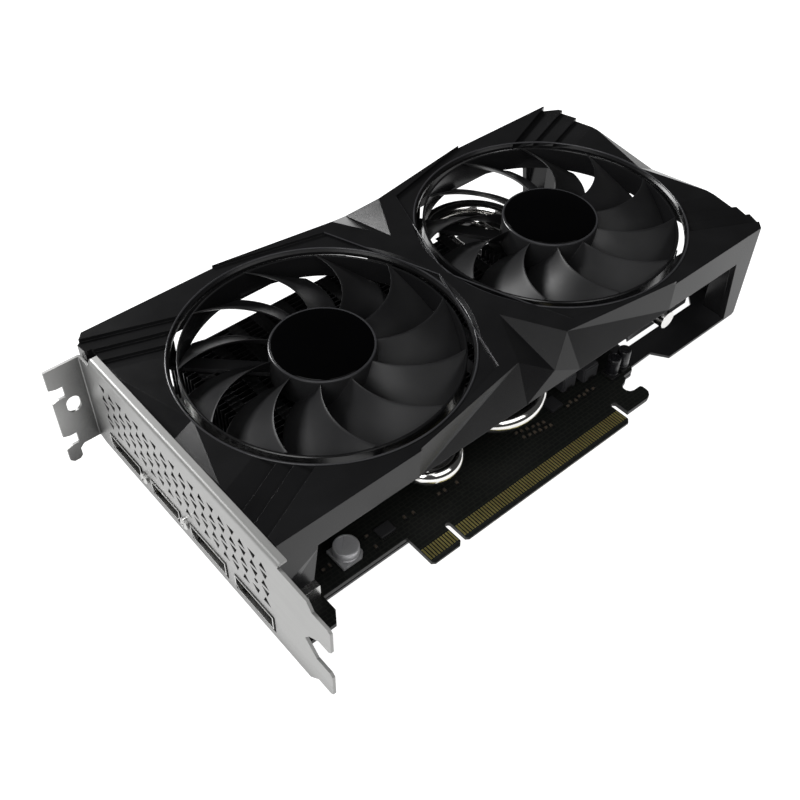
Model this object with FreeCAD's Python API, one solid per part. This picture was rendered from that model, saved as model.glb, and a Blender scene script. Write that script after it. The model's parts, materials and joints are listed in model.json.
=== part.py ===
"""Dual-fan, dual-slot graphics card as separate sub-parts, in millimetres.

Everything is drawn in the card frame and shifted to the part frame when it is saved.
Card frame: X = 0 is the outer face of the slot bracket and +X runs to the tail, Y = 0 is the
bottom of the edge connector and +Y runs to the bracket tab, Z = 0 is the component side of the
circuit board and +Z points out of the fans.
Part frame: origin under the middle of the overall box, at its lowest point.
"""
import FreeCAD, Part
import math
import os

V = FreeCAD.Vector

# ---- slot bracket (standard full-height, two-slot) ----
BRACKET_T = 0.86
BRACKET_LOW = -4.2
BRACKET_WIDTH = 38.74
BRACKET_HIGH = BRACKET_LOW + BRACKET_WIDTH
SLOT_PITCH = 20.32
TAB_Y = 105.8
TAB_REACH = 11.43
TAB_TOP = 31.0
TAB_FOOT = -8.7
TAB_SLOT_W = 4.42
TAB_SLOT_DEEP = 4.4
TAB_SLOT_Z = 0.5
PRONG_TIP = TAB_Y + BRACKET_T - 120.02
PRONG_LOW_Z = -0.4
PRONG_W = 10.19
FLANGE_REACH = 3.0
FLANGE_Y0 = 7.0
FLANGE_Y1 = 99.0
BEND_R = 1.2
BRACKET_SCREWS = [(54.3, 3.2), (76.1, 3.2)]
SCREW_HOLE_R = 1.0
SCREW_STEM_R = 0.9
SCREW_HEAD_R = 1.9
SCREW_HEAD_T = 1.6
CUT = 1.0
VENT_ROWS = 5
VENT_COLUMNS = 18
VENT_Y0 = 14.0
VENT_Z0 = 10.9
VENT_PITCH_Y = 4.68
VENT_PITCH_Z = 3.95
VENT_SIDE = 3.3
VENT_HEIGHT = 2.7
PEEP_HOLE = (18.3, 15.3)
PEEP_HOLE_R = 0.8

# ---- circuit board and its edge connector ----
BOARD_T = 1.57
BOARD_X0 = 2.0
BOARD_X1 = 150.0
BOARD_Y0 = 11.4
BOARD_Y1 = 106.0
TONGUE_X0 = 46.3
TONGUE_CORNER = 0.9
SPRING_HOLE_R = 1.5
SHORT_RUN = 11.2
KEY_W = 1.9
LONG_RUN = 71.2
TONGUE_X1 = TONGUE_X0 + SHORT_RUN + KEY_W + LONG_RUN
KEY_DEPTH = 8.0
HOOK_GAP = 2.3
PAD_PITCH = 1.0
PAD_W = 0.6
PAD_Y0 = 1.4
PAD_LEN = 4.2
PAD_T = 0.05

# ---- picture outputs on the bracket ----
PORT_Z0 = 0.0
DP_CENTRES = [20.6, 42.8, 87.4]
DP_W = 17.6
DP_H = 5.5
HDMI_CENTRE = 65.1
HDMI_W = 15.4
HDMI_H = 5.3
PORT_FRONT = -0.4
PORT_BACK = 15.5
SHELL_T = 0.35
PORT_GAP = 0.45

# ---- shroud ----
SHROUD_X0 = 3.2
SHROUD_X1 = 204.0
SHROUD_Y0 = 11.5
SHROUD_Y1 = 110.2
MID_X = 103.3
MID_Y = 0.5 * (SHROUD_Y0 + SHROUD_Y1)
PLATE_Z = 35.0
RAISED_Z = 36.1
WALL_LOW_Z = 24.3
BACK_LOW_Z = 19.0
WALL = 2.0
ROOF = 3.0
END_LOW_Z = 19.0
TAB_LOW_Z = 8.5
RIB_STEP = 1.3
CORNER_STEP = 1.9
END_WALL = 3.5
WAIST_PULL = 9.6
DENT_Z = 30.5
END_DENT = 3.4
LIP_FLARE = 2.4

# ---- fans ----
FAN_PITCH = 95.9
FAN_Y = 60.3
OPENING_R = 44.3
MOUTH_LOW_Z = 33.2
PILLAR_R = 46.2
BLADES = 11
RING_R = 42.4
RING_T = 0.9
RING_LOW_Z = 26.6
RING_HIGH_Z = 34.6
HUB_R = 16.0
HUB_WALL = 1.2
BLADE_LOW_Z = 25.0
BLADE_HIGH_Z = 35.6
BLADE_T = 1.0
BLADE_CHORD_DEG = 29.0
BLADE_SWEEP_DEG = 22.5
HUB_TOP_Z = 35.6
BADGE_T = 0.4
BADGE_R = 15.1
BASE_Z = 22.9
BASE_T = 1.5
STRUT_W = 4.6
SHAFT_R = 1.5
BOSS_DROP = 1.4
YOKE_T = 0.8
MAGNET_T = 1.4
SLEEVE_R = 3.2
BEARING_CLEARANCE = 0.05
CABLE_R = 0.9
PLUG_TOP = 6.4
ARC_SHARE = 0.45
FAN_ANGLES = {1: 1.5, 2: 4.0}
FOOT_R = 2.0
STRUT_ANGLES = {1: (15.0, 135.0, 255.0), 2: (5.0, 125.0, 245.0)}

# ---- heat sink ----
FIN_PITCH = 2.0
FIN_T = 0.4
FIN_TOP = 22.5
FIN_LOW = 6.6
MAIN_FIN_X = (23.5, 131.0)
MAIN_FIN_Y = (24.0, 97.0)
CONNECTOR_BAY_X = 96.0
CONNECTOR_BAY_Y = 88.0
TAIL_FIN_X = (134.6, 184.5)
TAIL_FIN_Y = (22.0, 75.5)
TAIL_FIN_LOW = 4.3
TAIL_STEP_X = 153.6
TAIL_STEP_Z = 6.4
PIPE_R = 3.0
LOW_PIPE_Z = 11.0
HIGH_PIPE_Z = 18.5

# ---- backplate ----
BACKPLATE_T = 1.0
BACKPLATE_LOW = -3.2
VENT_BOX = (156.5, 196.0, 24.0, 98.0)
VENT_CORNER = 3.6
VENT_BAR = 4.0
PLATE_FRONT = 11.4
LAND_R = 2.6
PLATE_HOLE_R = 1.3
PLATE_SCREW_R = 1.2
PLATE_HEAD_R = 2.3
PLATE_HEAD_T = 0.9
TAIL_SCREW_TOP = 4.0

# ---- processor ----
GPU_X = 90.0
GPU_Y = 56.0

LOW_Z = TAB_FOOT
SHIFT = V(-0.5 * (SHROUD_X1 - TAB_REACH), -0.5 * (SHROUD_Y1 + PRONG_TIP), -LOW_Z)


# ---------------------------------------------------------------- helpers
def save(name, shape):
    """Move a card-frame shape into the part frame and write its file."""
    moved = shape.copy()
    moved.translate(SHIFT)
    moved.exportStep(os.path.join("parts", name + ".step"))
    print(name, "solids", len(moved.Solids), "volume", round(moved.Volume, 2), moved.isValid())


def box(x0, x1, y0, y1, z0, z1):
    return Part.makeBox(x1 - x0, y1 - y0, z1 - z0, V(x0, y0, z0))


def disc(radius, x, y, z0, z1):
    return Part.makeCylinder(radius, z1 - z0, V(x, y, z0))


def tube(outer, inner, x, y, z0, z1):
    return disc(outer, x, y, z0, z1).cut(disc(inner, x, y, z0 - 1, z1 + 1))


def face_of(points):
    return Part.Face(Part.makePolygon(points + [points[0]]))


def prism_z(outline, z0, z1):
    """Extrude an XY outline from z0 to z1."""
    return face_of([V(x, y, z0) for x, y in outline]).extrude(V(0, 0, z1 - z0))


def prism_x(outline, x0, x1):
    """Extrude a YZ outline from x0 to x1."""
    return face_of([V(x0, y, z) for y, z in outline]).extrude(V(x1 - x0, 0, 0))


def prism_y(outline, y0, y1):
    """Extrude an XZ outline from y0 to y1."""
    return face_of([V(x, y0, z) for x, z in outline]).extrude(V(0, y1 - y0, 0))


def tetra(a, b, c, d):
    faces = [face_of([a, b, c]), face_of([a, b, d]), face_of([a, c, d]), face_of([b, c, d])]
    solid = Part.Solid(Part.Shell(faces))
    if solid.Volume < 0:
        solid.reverse()
    return solid


def carve(shape, eye, facets):
    """Remove everything between an outside point and a set of flat facets."""
    for a, b, c in facets:
        shape = shape.cut(tetra(eye, a, b, c))
    return shape


def fuse_all(shapes):
    return shapes[0].multiFuse(shapes[1:]).removeSplitter()


def group(shapes):
    return Part.makeCompound(shapes)


def rounded_box(x0, x1, y0, y1, z0, z1, radius):
    solid = box(x0, x1, y0, y1, z0, z1)
    upright = [e for e in solid.Edges if abs(e.Vertexes[0].Z - e.Vertexes[-1].Z) > 1e-6]
    return solid.makeFillet(radius, upright)


def pipe_solid(edges, radius):
    """Round rod along a path of straight runs and arcs."""
    path = Part.Wire(edges)
    start = path.Edges[0]
    point = start.valueAt(start.FirstParameter)
    direction = start.tangentAt(start.FirstParameter)
    ring = Part.Wire(Part.makeCircle(radius, point, direction))
    return path.makePipeShell([ring], True, True)


def arc(a, middle, b):
    return Part.Arc(a, middle, b).toShape()


def line(a, b):
    return Part.LineSegment(a, b).toShape()


def u_bend(x_left, x_right, y_turn, y_left, y_right, z, side):
    """U-shaped rod: two legs along Y joined by a half circle; side is -1 for a front turn."""
    radius = 0.5 * (x_right - x_left)
    middle = V(0.5 * (x_left + x_right), y_turn + side * radius, z)
    left = V(x_left, y_turn, z)
    right = V(x_right, y_turn, z)
    runs = [line(V(x_left, y_left, z), left), arc(left, middle, right)]
    runs.append(line(right, V(x_right, y_right, z)))
    return pipe_solid(runs, PIPE_R)


# ---------------------------------------------------------------- slot bracket
def vent_triangle(y, z, pointing_up):
    half = 0.5 * VENT_SIDE
    rise = 0.5 * VENT_HEIGHT
    if pointing_up:
        outline = [(y - half, z - rise), (y + half, z - rise), (y + 0.3 * half, z + rise)]
    else:
        outline = [(y - half, z + rise), (y + half, z + rise), (y - 0.3 * half, z - rise)]
    return prism_x(outline, -1, BRACKET_T + 1)


def tab_slot(z):
    """Open notch for the case screw, flared at its mouth."""
    half = 0.5 * TAB_SLOT_W
    flare = 1.0
    deep = -TAB_REACH + TAB_SLOT_DEEP
    straight = -TAB_REACH + 0.5 * TAB_SLOT_DEEP
    outside = -TAB_REACH - CUT
    outline = [(outside, z - half - flare), (straight, z - half), (deep, z - half),
               (deep, z + half), (straight, z + half), (outside, z + half + flare)]
    return prism_y(outline, TAB_Y - CUT, TAB_Y + BRACKET_T + CUT)


def tab_hole():
    """Oblong hole between the two notches of the tab."""
    x = -5.3
    z = 14.3
    radius = 2.25
    rise = 0.9
    depth = BRACKET_T + 2 * CUT
    ends = [Part.makeCylinder(radius, depth, V(x, TAB_Y - CUT, z + side * rise), V(0, 1, 0))
            for side in (-1, 1)]
    middle = box(x - radius, x + radius, TAB_Y - CUT, TAB_Y - CUT + depth, z - rise, z + rise)
    return fuse_all(ends + [middle])


def bracket_plate():
    """Flat face of the bracket with its two prongs."""
    low_top = PRONG_LOW_Z + PRONG_W
    high = PRONG_LOW_Z + SLOT_PITCH
    high_top = high + PRONG_W
    tip = PRONG_TIP + 1.0
    outline = [
        (TAB_Y + BRACKET_T - BEND_R, BRACKET_LOW + 1.0), (FLANGE_Y1 + 3.0, BRACKET_LOW),
        (-3.5, BRACKET_LOW), (-7.2, PRONG_LOW_Z),
        (tip, PRONG_LOW_Z), (PRONG_TIP, PRONG_LOW_Z + 1.0),
        (PRONG_TIP, low_top - 1.0), (tip, low_top), (-7.0, low_top),
        (-2.6, 14.3), (-4.4, 17.0), (-8.4, high),
        (tip, high), (PRONG_TIP, high + 1.0),
        (PRONG_TIP, high_top - 1.0), (tip, high_top),
        (-6.4, high_top), (-4.4, 33.0), (FLANGE_Y0, BRACKET_HIGH - BEND_R),
        (FLANGE_Y1, BRACKET_HIGH - BEND_R), (FLANGE_Y1 + 1.5, TAB_TOP),
        (TAB_Y + BRACKET_T - BEND_R, TAB_TOP),
    ]
    return prism_x(outline, 0, BRACKET_T)


def io_bracket():
    """Two-slot bracket: face, folded flange along the top, folded screw tab."""
    plate = bracket_plate()
    high = BRACKET_HIGH
    flange = box(BEND_R, FLANGE_REACH, FLANGE_Y0, FLANGE_Y1, high - BRACKET_T, high)
    flange_bend = quarter_tube(V(BEND_R, FLANGE_Y0, high - BEND_R), V(0, 1, 0),
                               FLANGE_Y1 - FLANGE_Y0, -1, 1)
    tab_outline = [
        (BRACKET_T - BEND_R, BRACKET_LOW + 1.0), (BRACKET_T - BEND_R, TAB_TOP),
        (-TAB_REACH, TAB_TOP),
        (-TAB_REACH, TAB_FOOT + 1.2), (-TAB_REACH + 1.2, TAB_FOOT),
        (-8.2, TAB_FOOT), (-7.2, TAB_FOOT + 1.0), (-7.2, -4.6), (-5.8, BRACKET_LOW + 1.0),
    ]
    tab = prism_y(tab_outline, TAB_Y, TAB_Y + BRACKET_T)
    corner = V(BRACKET_T - BEND_R, TAB_Y + BRACKET_T - BEND_R, BRACKET_LOW + 1.0)
    tab_bend = quarter_tube(corner, V(0, 0, 1), TAB_TOP - BRACKET_LOW - 1.0, 1, 1)
    bracket = fuse_all([plate, flange, flange_bend, tab, tab_bend])
    cuts = [tab_slot(TAB_SLOT_Z), tab_slot(TAB_SLOT_Z + SLOT_PITCH), tab_hole()]
    for centre in DP_CENTRES:
        cuts.append(port_window(centre, DP_W, DP_H))
    cuts.append(port_window(HDMI_CENTRE, HDMI_W, HDMI_H))
    for row in range(VENT_ROWS):
        z = VENT_Z0 + row * VENT_PITCH_Z
        for column in range(VENT_COLUMNS):
            y = VENT_Y0 + column * VENT_PITCH_Y
            near_peep_hole = row == 1 and column == 1
            if not near_peep_hole:
                cuts.append(vent_triangle(y, z, (row + column) % 2 == 0))
    cuts.append(bracket_hole(PEEP_HOLE_R, PEEP_HOLE))
    for place in BRACKET_SCREWS:
        cuts.append(bracket_hole(SCREW_HOLE_R, place))
    return bracket.cut(cuts)


def bracket_hole(radius, place):
    y, z = place
    return Part.makeCylinder(radius, BRACKET_T + 2 * CUT, V(-CUT, y, z), V(1, 0, 0))


def quarter_tube(corner, axis, length, side_a, side_b):
    """Quarter of a sheet-thick tube that rounds a fold; the sides pick the quadrant."""
    outer = Part.makeCylinder(BEND_R, length, corner, axis)
    inner = Part.makeCylinder(BEND_R - BRACKET_T, length, corner, axis)
    reach = 2 * BEND_R
    if axis.y > 0:
        quadrant = box(min(corner.x, corner.x + side_a * reach),
                       max(corner.x, corner.x + side_a * reach),
                       corner.y, corner.y + length,
                       min(corner.z, corner.z + side_b * reach),
                       max(corner.z, corner.z + side_b * reach))
    else:
        quadrant = box(min(corner.x, corner.x + side_a * reach),
                       max(corner.x, corner.x + side_a * reach),
                       min(corner.y, corner.y + side_b * reach),
                       max(corner.y, corner.y + side_b * reach),
                       corner.z, corner.z + length)
    return outer.cut(inner).common(quadrant)


def port_window(centre, width, height):
    half = 0.5 * width + PORT_GAP
    low = PORT_Z0 - 1.6
    high = PORT_Z0 + height - 0.1 + PORT_GAP
    return box(-1, BRACKET_T + 1, centre - half, centre + half, low, high)


def bracket_screws():
    """Two round-headed screws that hold the bracket to the sockets."""
    stem_length = 3.2
    screws = []
    for y, z in BRACKET_SCREWS:
        head = Part.makeCylinder(SCREW_HEAD_R, SCREW_HEAD_T, V(-SCREW_HEAD_T, y, z), V(1, 0, 0))
        stem = Part.makeCylinder(SCREW_STEM_R, stem_length, V(0, y, z), V(1, 0, 0))
        screws.append(head.fuse(stem))
    return screws


# ---------------------------------------------------------------- circuit board
def board_outline():
    """Board with its edge-connector tongue, retention hook and the lug by the bracket."""
    left = TONGUE_X0
    right = TONGUE_X1
    bite = TONGUE_CORNER
    hook = TONGUE_X1 + HOOK_GAP
    slot_end = 8.6
    lug = [(BOARD_X0, 2.6), (13.6, 2.6), (16.0, 6.0), (16.0, BOARD_Y0)]
    tongue = [(left, BOARD_Y0), (left, bite), (left + bite, 0.0), (right - bite, 0.0),
              (right, bite), (right, slot_end - 0.6), (right + 0.6, slot_end),
              (hook - 0.6, slot_end), (hook, slot_end - 0.6)]
    retention = [(hook, 2.9), (142.4, 2.9), (143.9, 3.4), (144.9, 4.5), (145.2, 5.6), (145.2, 7.2),
                 (144.9, 7.8), (144.3, 8.0), (141.8, 8.0), (140.5, 8.5), (139.8, 9.6),
                 (139.8, 10.8), (140.5, 11.9), (142.9, 12.6), (143.8, 13.3), (144.2, 14.4)]
    end = [(148.6, 14.6), (BOARD_X1, 16.2), (BOARD_X1, BOARD_Y1), (BOARD_X0, BOARD_Y1)]
    return lug + tongue + retention + end


def tongue_bevel(face_z, side):
    """Long chamfer on one face of the tongue's leading edge."""
    length = 1.2
    depth = 0.45
    over = 0.1
    outline = [(-over, face_z + side * over), (length, face_z + side * over), (length, face_z),
               (-over, face_z - side * depth)]
    return prism_x(outline, TONGUE_X0 - CUT, TONGUE_X1 + 0.5)


def pcb():
    board = prism_z(board_outline(), -BOARD_T, 0)
    key_x = TONGUE_X0 + SHORT_RUN
    key_r = 0.5 * KEY_W
    low = -BOARD_T - CUT
    cuts = [box(key_x, key_x + KEY_W, -CUT, KEY_DEPTH - key_r, low, CUT),
            disc(key_r, key_x + key_r, KEY_DEPTH - key_r, low, CUT)]
    for corner_x in (key_x, key_x + KEY_W):
        cuts.append(prism_z([(corner_x - TONGUE_CORNER, 0), (corner_x - TONGUE_CORNER, -CUT),
                             (corner_x + TONGUE_CORNER, -CUT), (corner_x + TONGUE_CORNER, 0),
                             (corner_x, TONGUE_CORNER)], low, CUT))
    cuts += [tongue_bevel(0, 1), tongue_bevel(-BOARD_T, -1)]
    cuts += [disc(SPRING_HOLE_R, x, y, low, CUT) for x, y in spring_screw_places()]
    cuts += [disc(PLATE_HOLE_R, x, y, low, CUT) for x, y in board_screw_places()]
    return board.cut(cuts)


def spring_screw_places():
    reach = 24.0
    return [(GPU_X + sx * reach, GPU_Y + sy * reach) for sx in (-1, 1) for sy in (-1, 1)]


def gold_fingers():
    pads = []
    for start, length in ((TONGUE_X0, SHORT_RUN), (TONGUE_X0 + SHORT_RUN + KEY_W, LONG_RUN)):
        count = int(length)
        margin = 0.5 * (length - (count - 1) * PAD_PITCH)
        for index in range(count):
            x = start + margin + index * PAD_PITCH - 0.5 * PAD_W
            pads.append(box(x, x + PAD_W, PAD_Y0, PAD_Y0 + PAD_LEN, 0, PAD_T))
            low = -BOARD_T - PAD_T
            pads.append(box(x, x + PAD_W, PAD_Y0, PAD_Y0 + PAD_LEN, low, -BOARD_T))
    return pads


def dp_shell(centre):
    """Folded metal shell with one cut corner, open at the front."""
    half = 0.5 * DP_W
    high = PORT_Z0 + DP_H
    outer = prism_x([(centre - half, PORT_Z0), (centre + half - 1.8, PORT_Z0),
                     (centre + half, PORT_Z0 + 1.8), (centre + half, high), (centre - half, high)],
                    PORT_FRONT, PORT_BACK)
    t = SHELL_T
    hollow = prism_x([(centre - half + t, PORT_Z0 + t), (centre + half - 1.8 - 0.4 * t, PORT_Z0 + t),
                      (centre + half - t, PORT_Z0 + 1.8 + 0.4 * t), (centre + half - t, high - t),
                      (centre - half + t, high - t)], PORT_FRONT - 1, PORT_BACK - 2.0)
    return outer.cut(hollow)


def hdmi_shell():
    half = 0.5 * HDMI_W
    high = PORT_Z0 + HDMI_H
    t = SHELL_T
    step = 1.7
    low = PORT_Z0
    outline = [(-half + step, low), (half - step, low), (half - 0.2, low + step + 0.4),
               (half, high), (-half, high), (-half + 0.2, low + step + 0.4)]
    inner = [(-half + step, low + t), (half - step, low + t), (half - 0.2 - t, low + step + 0.4),
             (half - t, high - t), (-half + t, high - t), (-half + 0.2 + t, low + step + 0.4)]
    outer = prism_x([(HDMI_CENTRE + y, z) for y, z in outline], PORT_FRONT, PORT_BACK)
    hollow = prism_x([(HDMI_CENTRE + y, z) for y, z in inner], PORT_FRONT - 1, PORT_BACK - 2.0)
    return outer.cut(hollow)


def port_insert(centre, width):
    """Contact tongue standing on the closed back of the socket."""
    half = 0.5 * width
    middle = PORT_Z0 + 2.6
    return box(PORT_FRONT + 1.6, PORT_BACK - 2.0, centre - half, centre + half,
               middle - 0.7, middle + 0.7)


# ---------------------------------------------------------------- components
def gpu_package():
    half = 15.0
    return rounded_box(GPU_X - half, GPU_X + half, GPU_Y - half, GPU_Y + half, 0, 1.2, 0.5)


def gpu_die():
    return box(GPU_X - 6.5, GPU_X + 6.5, GPU_Y - 6.2, GPU_Y + 6.2, 1.2, 2.0)


def memory_chips():
    places = [(63.0, 44.0), (63.0, 62.0), (80.0, 84.5), (98.0, 84.5)]
    return [box(x - 6, x + 6, y - 7, y + 7, 0, 1.2) if x < 70 else
            box(x - 7, x + 7, y - 6, y + 6, 0, 1.2) for x, y in places]


def thermal_pads():
    places = [(63.0, 44.0), (63.0, 62.0), (80.0, 84.5), (98.0, 84.5)]
    return [box(x - 5, x + 5, y - 5, y + 5, 1.2, FIN_LOW) for x, y in places]


def inductors():
    """Moulded chokes of the power stages; each entry is X, Y, half size, height."""
    places = [(125.5, 24.8, 3.1, 6.0), (134.3, 23.8, 3.4, 6.0), (126.0, 50.0, 3.6, 4.2),
              (126.0, 59.5, 3.6, 4.2), (126.0, 69.0, 3.6, 4.2), (34.0, 40.0, 3.6, 4.2)]
    corner = 0.8
    return [rounded_box(x - half, x + half, y - half, y + half, 0, height, corner)
            for x, y, half, height in places]


def power_stages():
    half = 2.5
    height = 0.9
    places = [(125.5, 33.0), (134.3, 33.0), (116.3, 20.6), (117.5, 50.0), (117.5, 59.5),
              (117.5, 69.0), (34.0, 48.0)]
    return [box(x - half, x + half, y - half, y + half, 0, height) for x, y in places]


def can_base(x, y, half):
    """Moulded foot with two cut corners under an upright capacitor."""
    cut = 0.4 * half
    outline = [(x - half, y - half), (x + half - cut, y - half), (x + half, y - half + cut),
               (x + half, y + half - cut), (x + half - cut, y + half), (x - half, y + half)]
    return prism_z(outline, 0, CAN_FOOT_T)


# each entry is X, Y, radius, top
CAN_FOOT_T = 1.1
CAN_PLACES = [(29.4, 18.1, 3.9, 4.7), (143.0, 60.0, 3.2, 5.9), (143.0, 69.0, 3.2, 5.9),
              (143.0, 51.0, 3.2, 5.9), (147.0, 18.0, 2.2, 8.0), (141.4, 17.6, 2.2, 8.0)]


def can_feet():
    lip = 0.2
    return [can_base(place[0], place[1], place[2] + lip) for place in CAN_PLACES]


def capacitor_cans():
    rounding = 0.5
    cans = []
    for x, y, r, top in CAN_PLACES:
        body = disc(r, x, y, CAN_FOOT_T, top)
        rim = [e for e in body.Edges if abs(e.BoundBox.ZMin - top) < 1e-6 and len(e.Vertexes) == 1]
        cans.append(body.makeFillet(rounding, rim))
    return cans


def controller_chips():
    """Small packages; each entry is X, Y, half length, half width, height."""
    chips = [(43.0, 17.4, 3.1, 2.3, 1.0), (30.0, 60.0, 3.0, 3.0, 0.9),
             (146.0, 84.0, 2.5, 2.5, 0.9), (30.0, 88.0, 2.2, 3.0, 1.2), (24.0, 30.0, 2.0, 2.6, 1.0)]
    return [box(x - a, x + a, y - b, y + b, 0, h) for x, y, a, b, h in chips]


def small_parts():
    """Ceramic chips and resistors: a few strays, two rows by the pipe, rows under the heat sink."""
    spots = [(21.1, 18.1), (23.4, 18.1), (37.4, 14.6), (37.6, 19.2), (50.4, 17.2), (53.5, 16.8),
             (63.8, 17.2), (66.2, 17.0), (70.9, 16.8)]
    for index in range(6):
        spots.append((98.6 + 2.0 * index, 19.4 - 0.5 * index))
        spots.append((99.4 + 2.0 * index, 16.6 - 0.4 * index))
    for index in range(7):
        spots.append((119.6 + 2.0 * index, 16.9 + 0.6 * (index % 2)))
    for index in range(10):
        spots.append((GPU_X - 13.5 + 3.0 * index, GPU_Y - 18.5))
    long_half = 0.8
    short_half = 0.4
    height = 0.7
    chips = []
    for index, (x, y) in enumerate(spots):
        half_x, half_y = (long_half, short_half) if index % 3 == 0 else (short_half, long_half)
        chips.append(box(x - half_x, x + half_x, y - half_y, y + half_y, 0, height))
    return chips


POWER_X0 = 98.5
POWER_PITCH = 4.2
POWER_Y0 = 91.5
POWER_Y1 = 105.0


def power_connector():
    """Eight-way power socket that opens towards +Y."""
    length = 4 * POWER_PITCH + 2.0
    housing = box(POWER_X0, POWER_X0 + length, POWER_Y0, POWER_Y1, 0, 10.4)
    cells = []
    for column in range(4):
        for row in range(2):
            x = POWER_X0 + 1.0 + 0.35 + column * POWER_PITCH
            z = 1.0 + 0.35 + row * POWER_PITCH
            cells.append(box(x, x + 3.5, POWER_Y0 + 2.0, POWER_Y1 + 1, z, z + 3.5))
    latch = box(POWER_X0 + 0.5 * length - 3.0, POWER_X0 + 0.5 * length + 3.0,
                POWER_Y0 + 5.0, POWER_Y1, 10.4, 11.6)
    return housing.cut(cells).fuse(latch).removeSplitter()


def power_pins():
    pins = []
    for column in range(4):
        for row in range(2):
            x = POWER_X0 + 3.1 + column * POWER_PITCH
            z = 3.1 + row * POWER_PITCH
            pins.append(box(x - 0.5, x + 0.5, POWER_Y0 + 2.0, POWER_Y1 - 3.5, z - 0.5, z + 0.5))
    return pins


FAN_HEADERS = {1: (20.5, 100.2), 2: (121.6, 97.6)}


def fan_header(number):
    x, y = FAN_HEADERS[number]
    shell = box(x - 3.5, x + 3.5, y - 2.2, y + 2.2, 0, 4.6)
    return shell.cut(box(x - 2.9, x + 2.9, y - 1.6, y + 1.6, 1.0, 6.0))


def fan_plug(number):
    x, y = FAN_HEADERS[number]
    return box(x - 2.85, x + 2.85, y - 1.55, y + 1.55, 1.0, PLUG_TOP)


# ---------------------------------------------------------------- heat sink
def heat_pipe_1():
    return u_bend(57.2, 73.2, 24.3, 60.0, 78.0, LOW_PIPE_Z, -1)


def heat_pipe_2():
    return u_bend(82.9, 113.5, 32.4, 76.0, 72.0, LOW_PIPE_Z, -1)


def heat_pipe_3():
    return u_bend(121.0, 158.0, 82.5, 34.0, 12.0, HIGH_PIPE_Z, 1)


def heat_pipe_4():
    """Inner pipe that turns inside the previous one."""
    return u_bend(131.0, 149.5, 84.2, 34.0, 24.0, HIGH_PIPE_Z, 1)


def pipe_clearances(y0, y1):
    """Straight bores through the fins for every pipe leg."""
    room = PIPE_R + 0.15
    legs = [(57.2, LOW_PIPE_Z), (73.2, LOW_PIPE_Z), (82.9, LOW_PIPE_Z), (113.5, LOW_PIPE_Z),
            (121.0, HIGH_PIPE_Z), (131.0, HIGH_PIPE_Z), (149.5, HIGH_PIPE_Z), (158.0, HIGH_PIPE_Z)]
    return [Part.makeCylinder(room, y1 - y0, V(x, y0, z), V(0, 1, 0)) for x, z in legs]


def fins(x_range, y_range, low, bay):
    """Thin upright sheets one behind the other, with bores for the pipes."""
    count = int((y_range[1] - y_range[0]) / FIN_PITCH) + 1
    sheets = []
    for index in range(count):
        y = y_range[0] + index * FIN_PITCH
        x_end = x_range[1]
        if bay and y + FIN_T > CONNECTOR_BAY_Y:
            x_end = CONNECTOR_BAY_X
        sheets.append(box(x_range[0], x_end, y, y + FIN_T, low, FIN_TOP))
    return sheets


def main_fins():
    sheets = fins(MAIN_FIN_X, MAIN_FIN_Y, FIN_LOW, True)
    bores = pipe_clearances(MAIN_FIN_Y[0] - 1, MAIN_FIN_Y[1] + 1)
    room = 0.3
    bend_1 = u_bend_room(57.2, 73.2, 24.3, LOW_PIPE_Z, -1, room)
    bend_2 = u_bend_room(82.9, 113.5, 32.4, LOW_PIPE_Z, -1, room)
    bend_3 = u_bend_room(121.0, 158.0, 82.5, HIGH_PIPE_Z, 1, room)
    bend_4 = u_bend_room(131.0, 149.5, 84.2, HIGH_PIPE_Z, 1, room)
    block = cold_plate_room()
    wells = [disc(3.6, x, y, 0, FIN_TOP + 1) for x, y in spring_screw_places()]
    tools = bores + [bend_1, bend_2, bend_3, bend_4, block] + wells
    return [sheet.cut(tools) for sheet in sheets]


def u_bend_room(x_left, x_right, y_turn, z, side, room):
    radius = 0.5 * (x_right - x_left)
    centre = 0.5 * (x_left + x_right)
    torus = Part.makeTorus(radius, PIPE_R + room, V(centre, y_turn, z))
    keep = box(x_left - 5, x_right + 5, min(y_turn, y_turn + side * 40),
               max(y_turn, y_turn + side * 40), z - 5, z + 5)
    return torus.common(keep)


def tail_fins():
    """Fins beyond the board hang lower than the ones above it."""
    sheets = fins(TAIL_FIN_X, TAIL_FIN_Y, TAIL_FIN_LOW, False)
    y0 = TAIL_FIN_Y[0] - 1
    y1 = TAIL_FIN_Y[1] + 1
    tools = pipe_clearances(y0, y1)
    tools.append(box(TAIL_FIN_X[0] - 1, TAIL_STEP_X, y0, y1, TAIL_FIN_LOW - 1, TAIL_STEP_Z))
    return [sheet.cut(tools) for sheet in sheets]


PLATE_HALF = 20.0
PLATE_LOW = 2.0
EAR_LOW = PLATE_LOW + 0.6
EAR_TOP = EAR_LOW + 1.4
SPRING_TOP = 6.4


def cold_plate_room():
    reach = PLATE_HALF + 0.2
    return box(GPU_X - reach, GPU_X + reach, GPU_Y - reach, GPU_Y + reach, 0, LOW_PIPE_Z)


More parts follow.
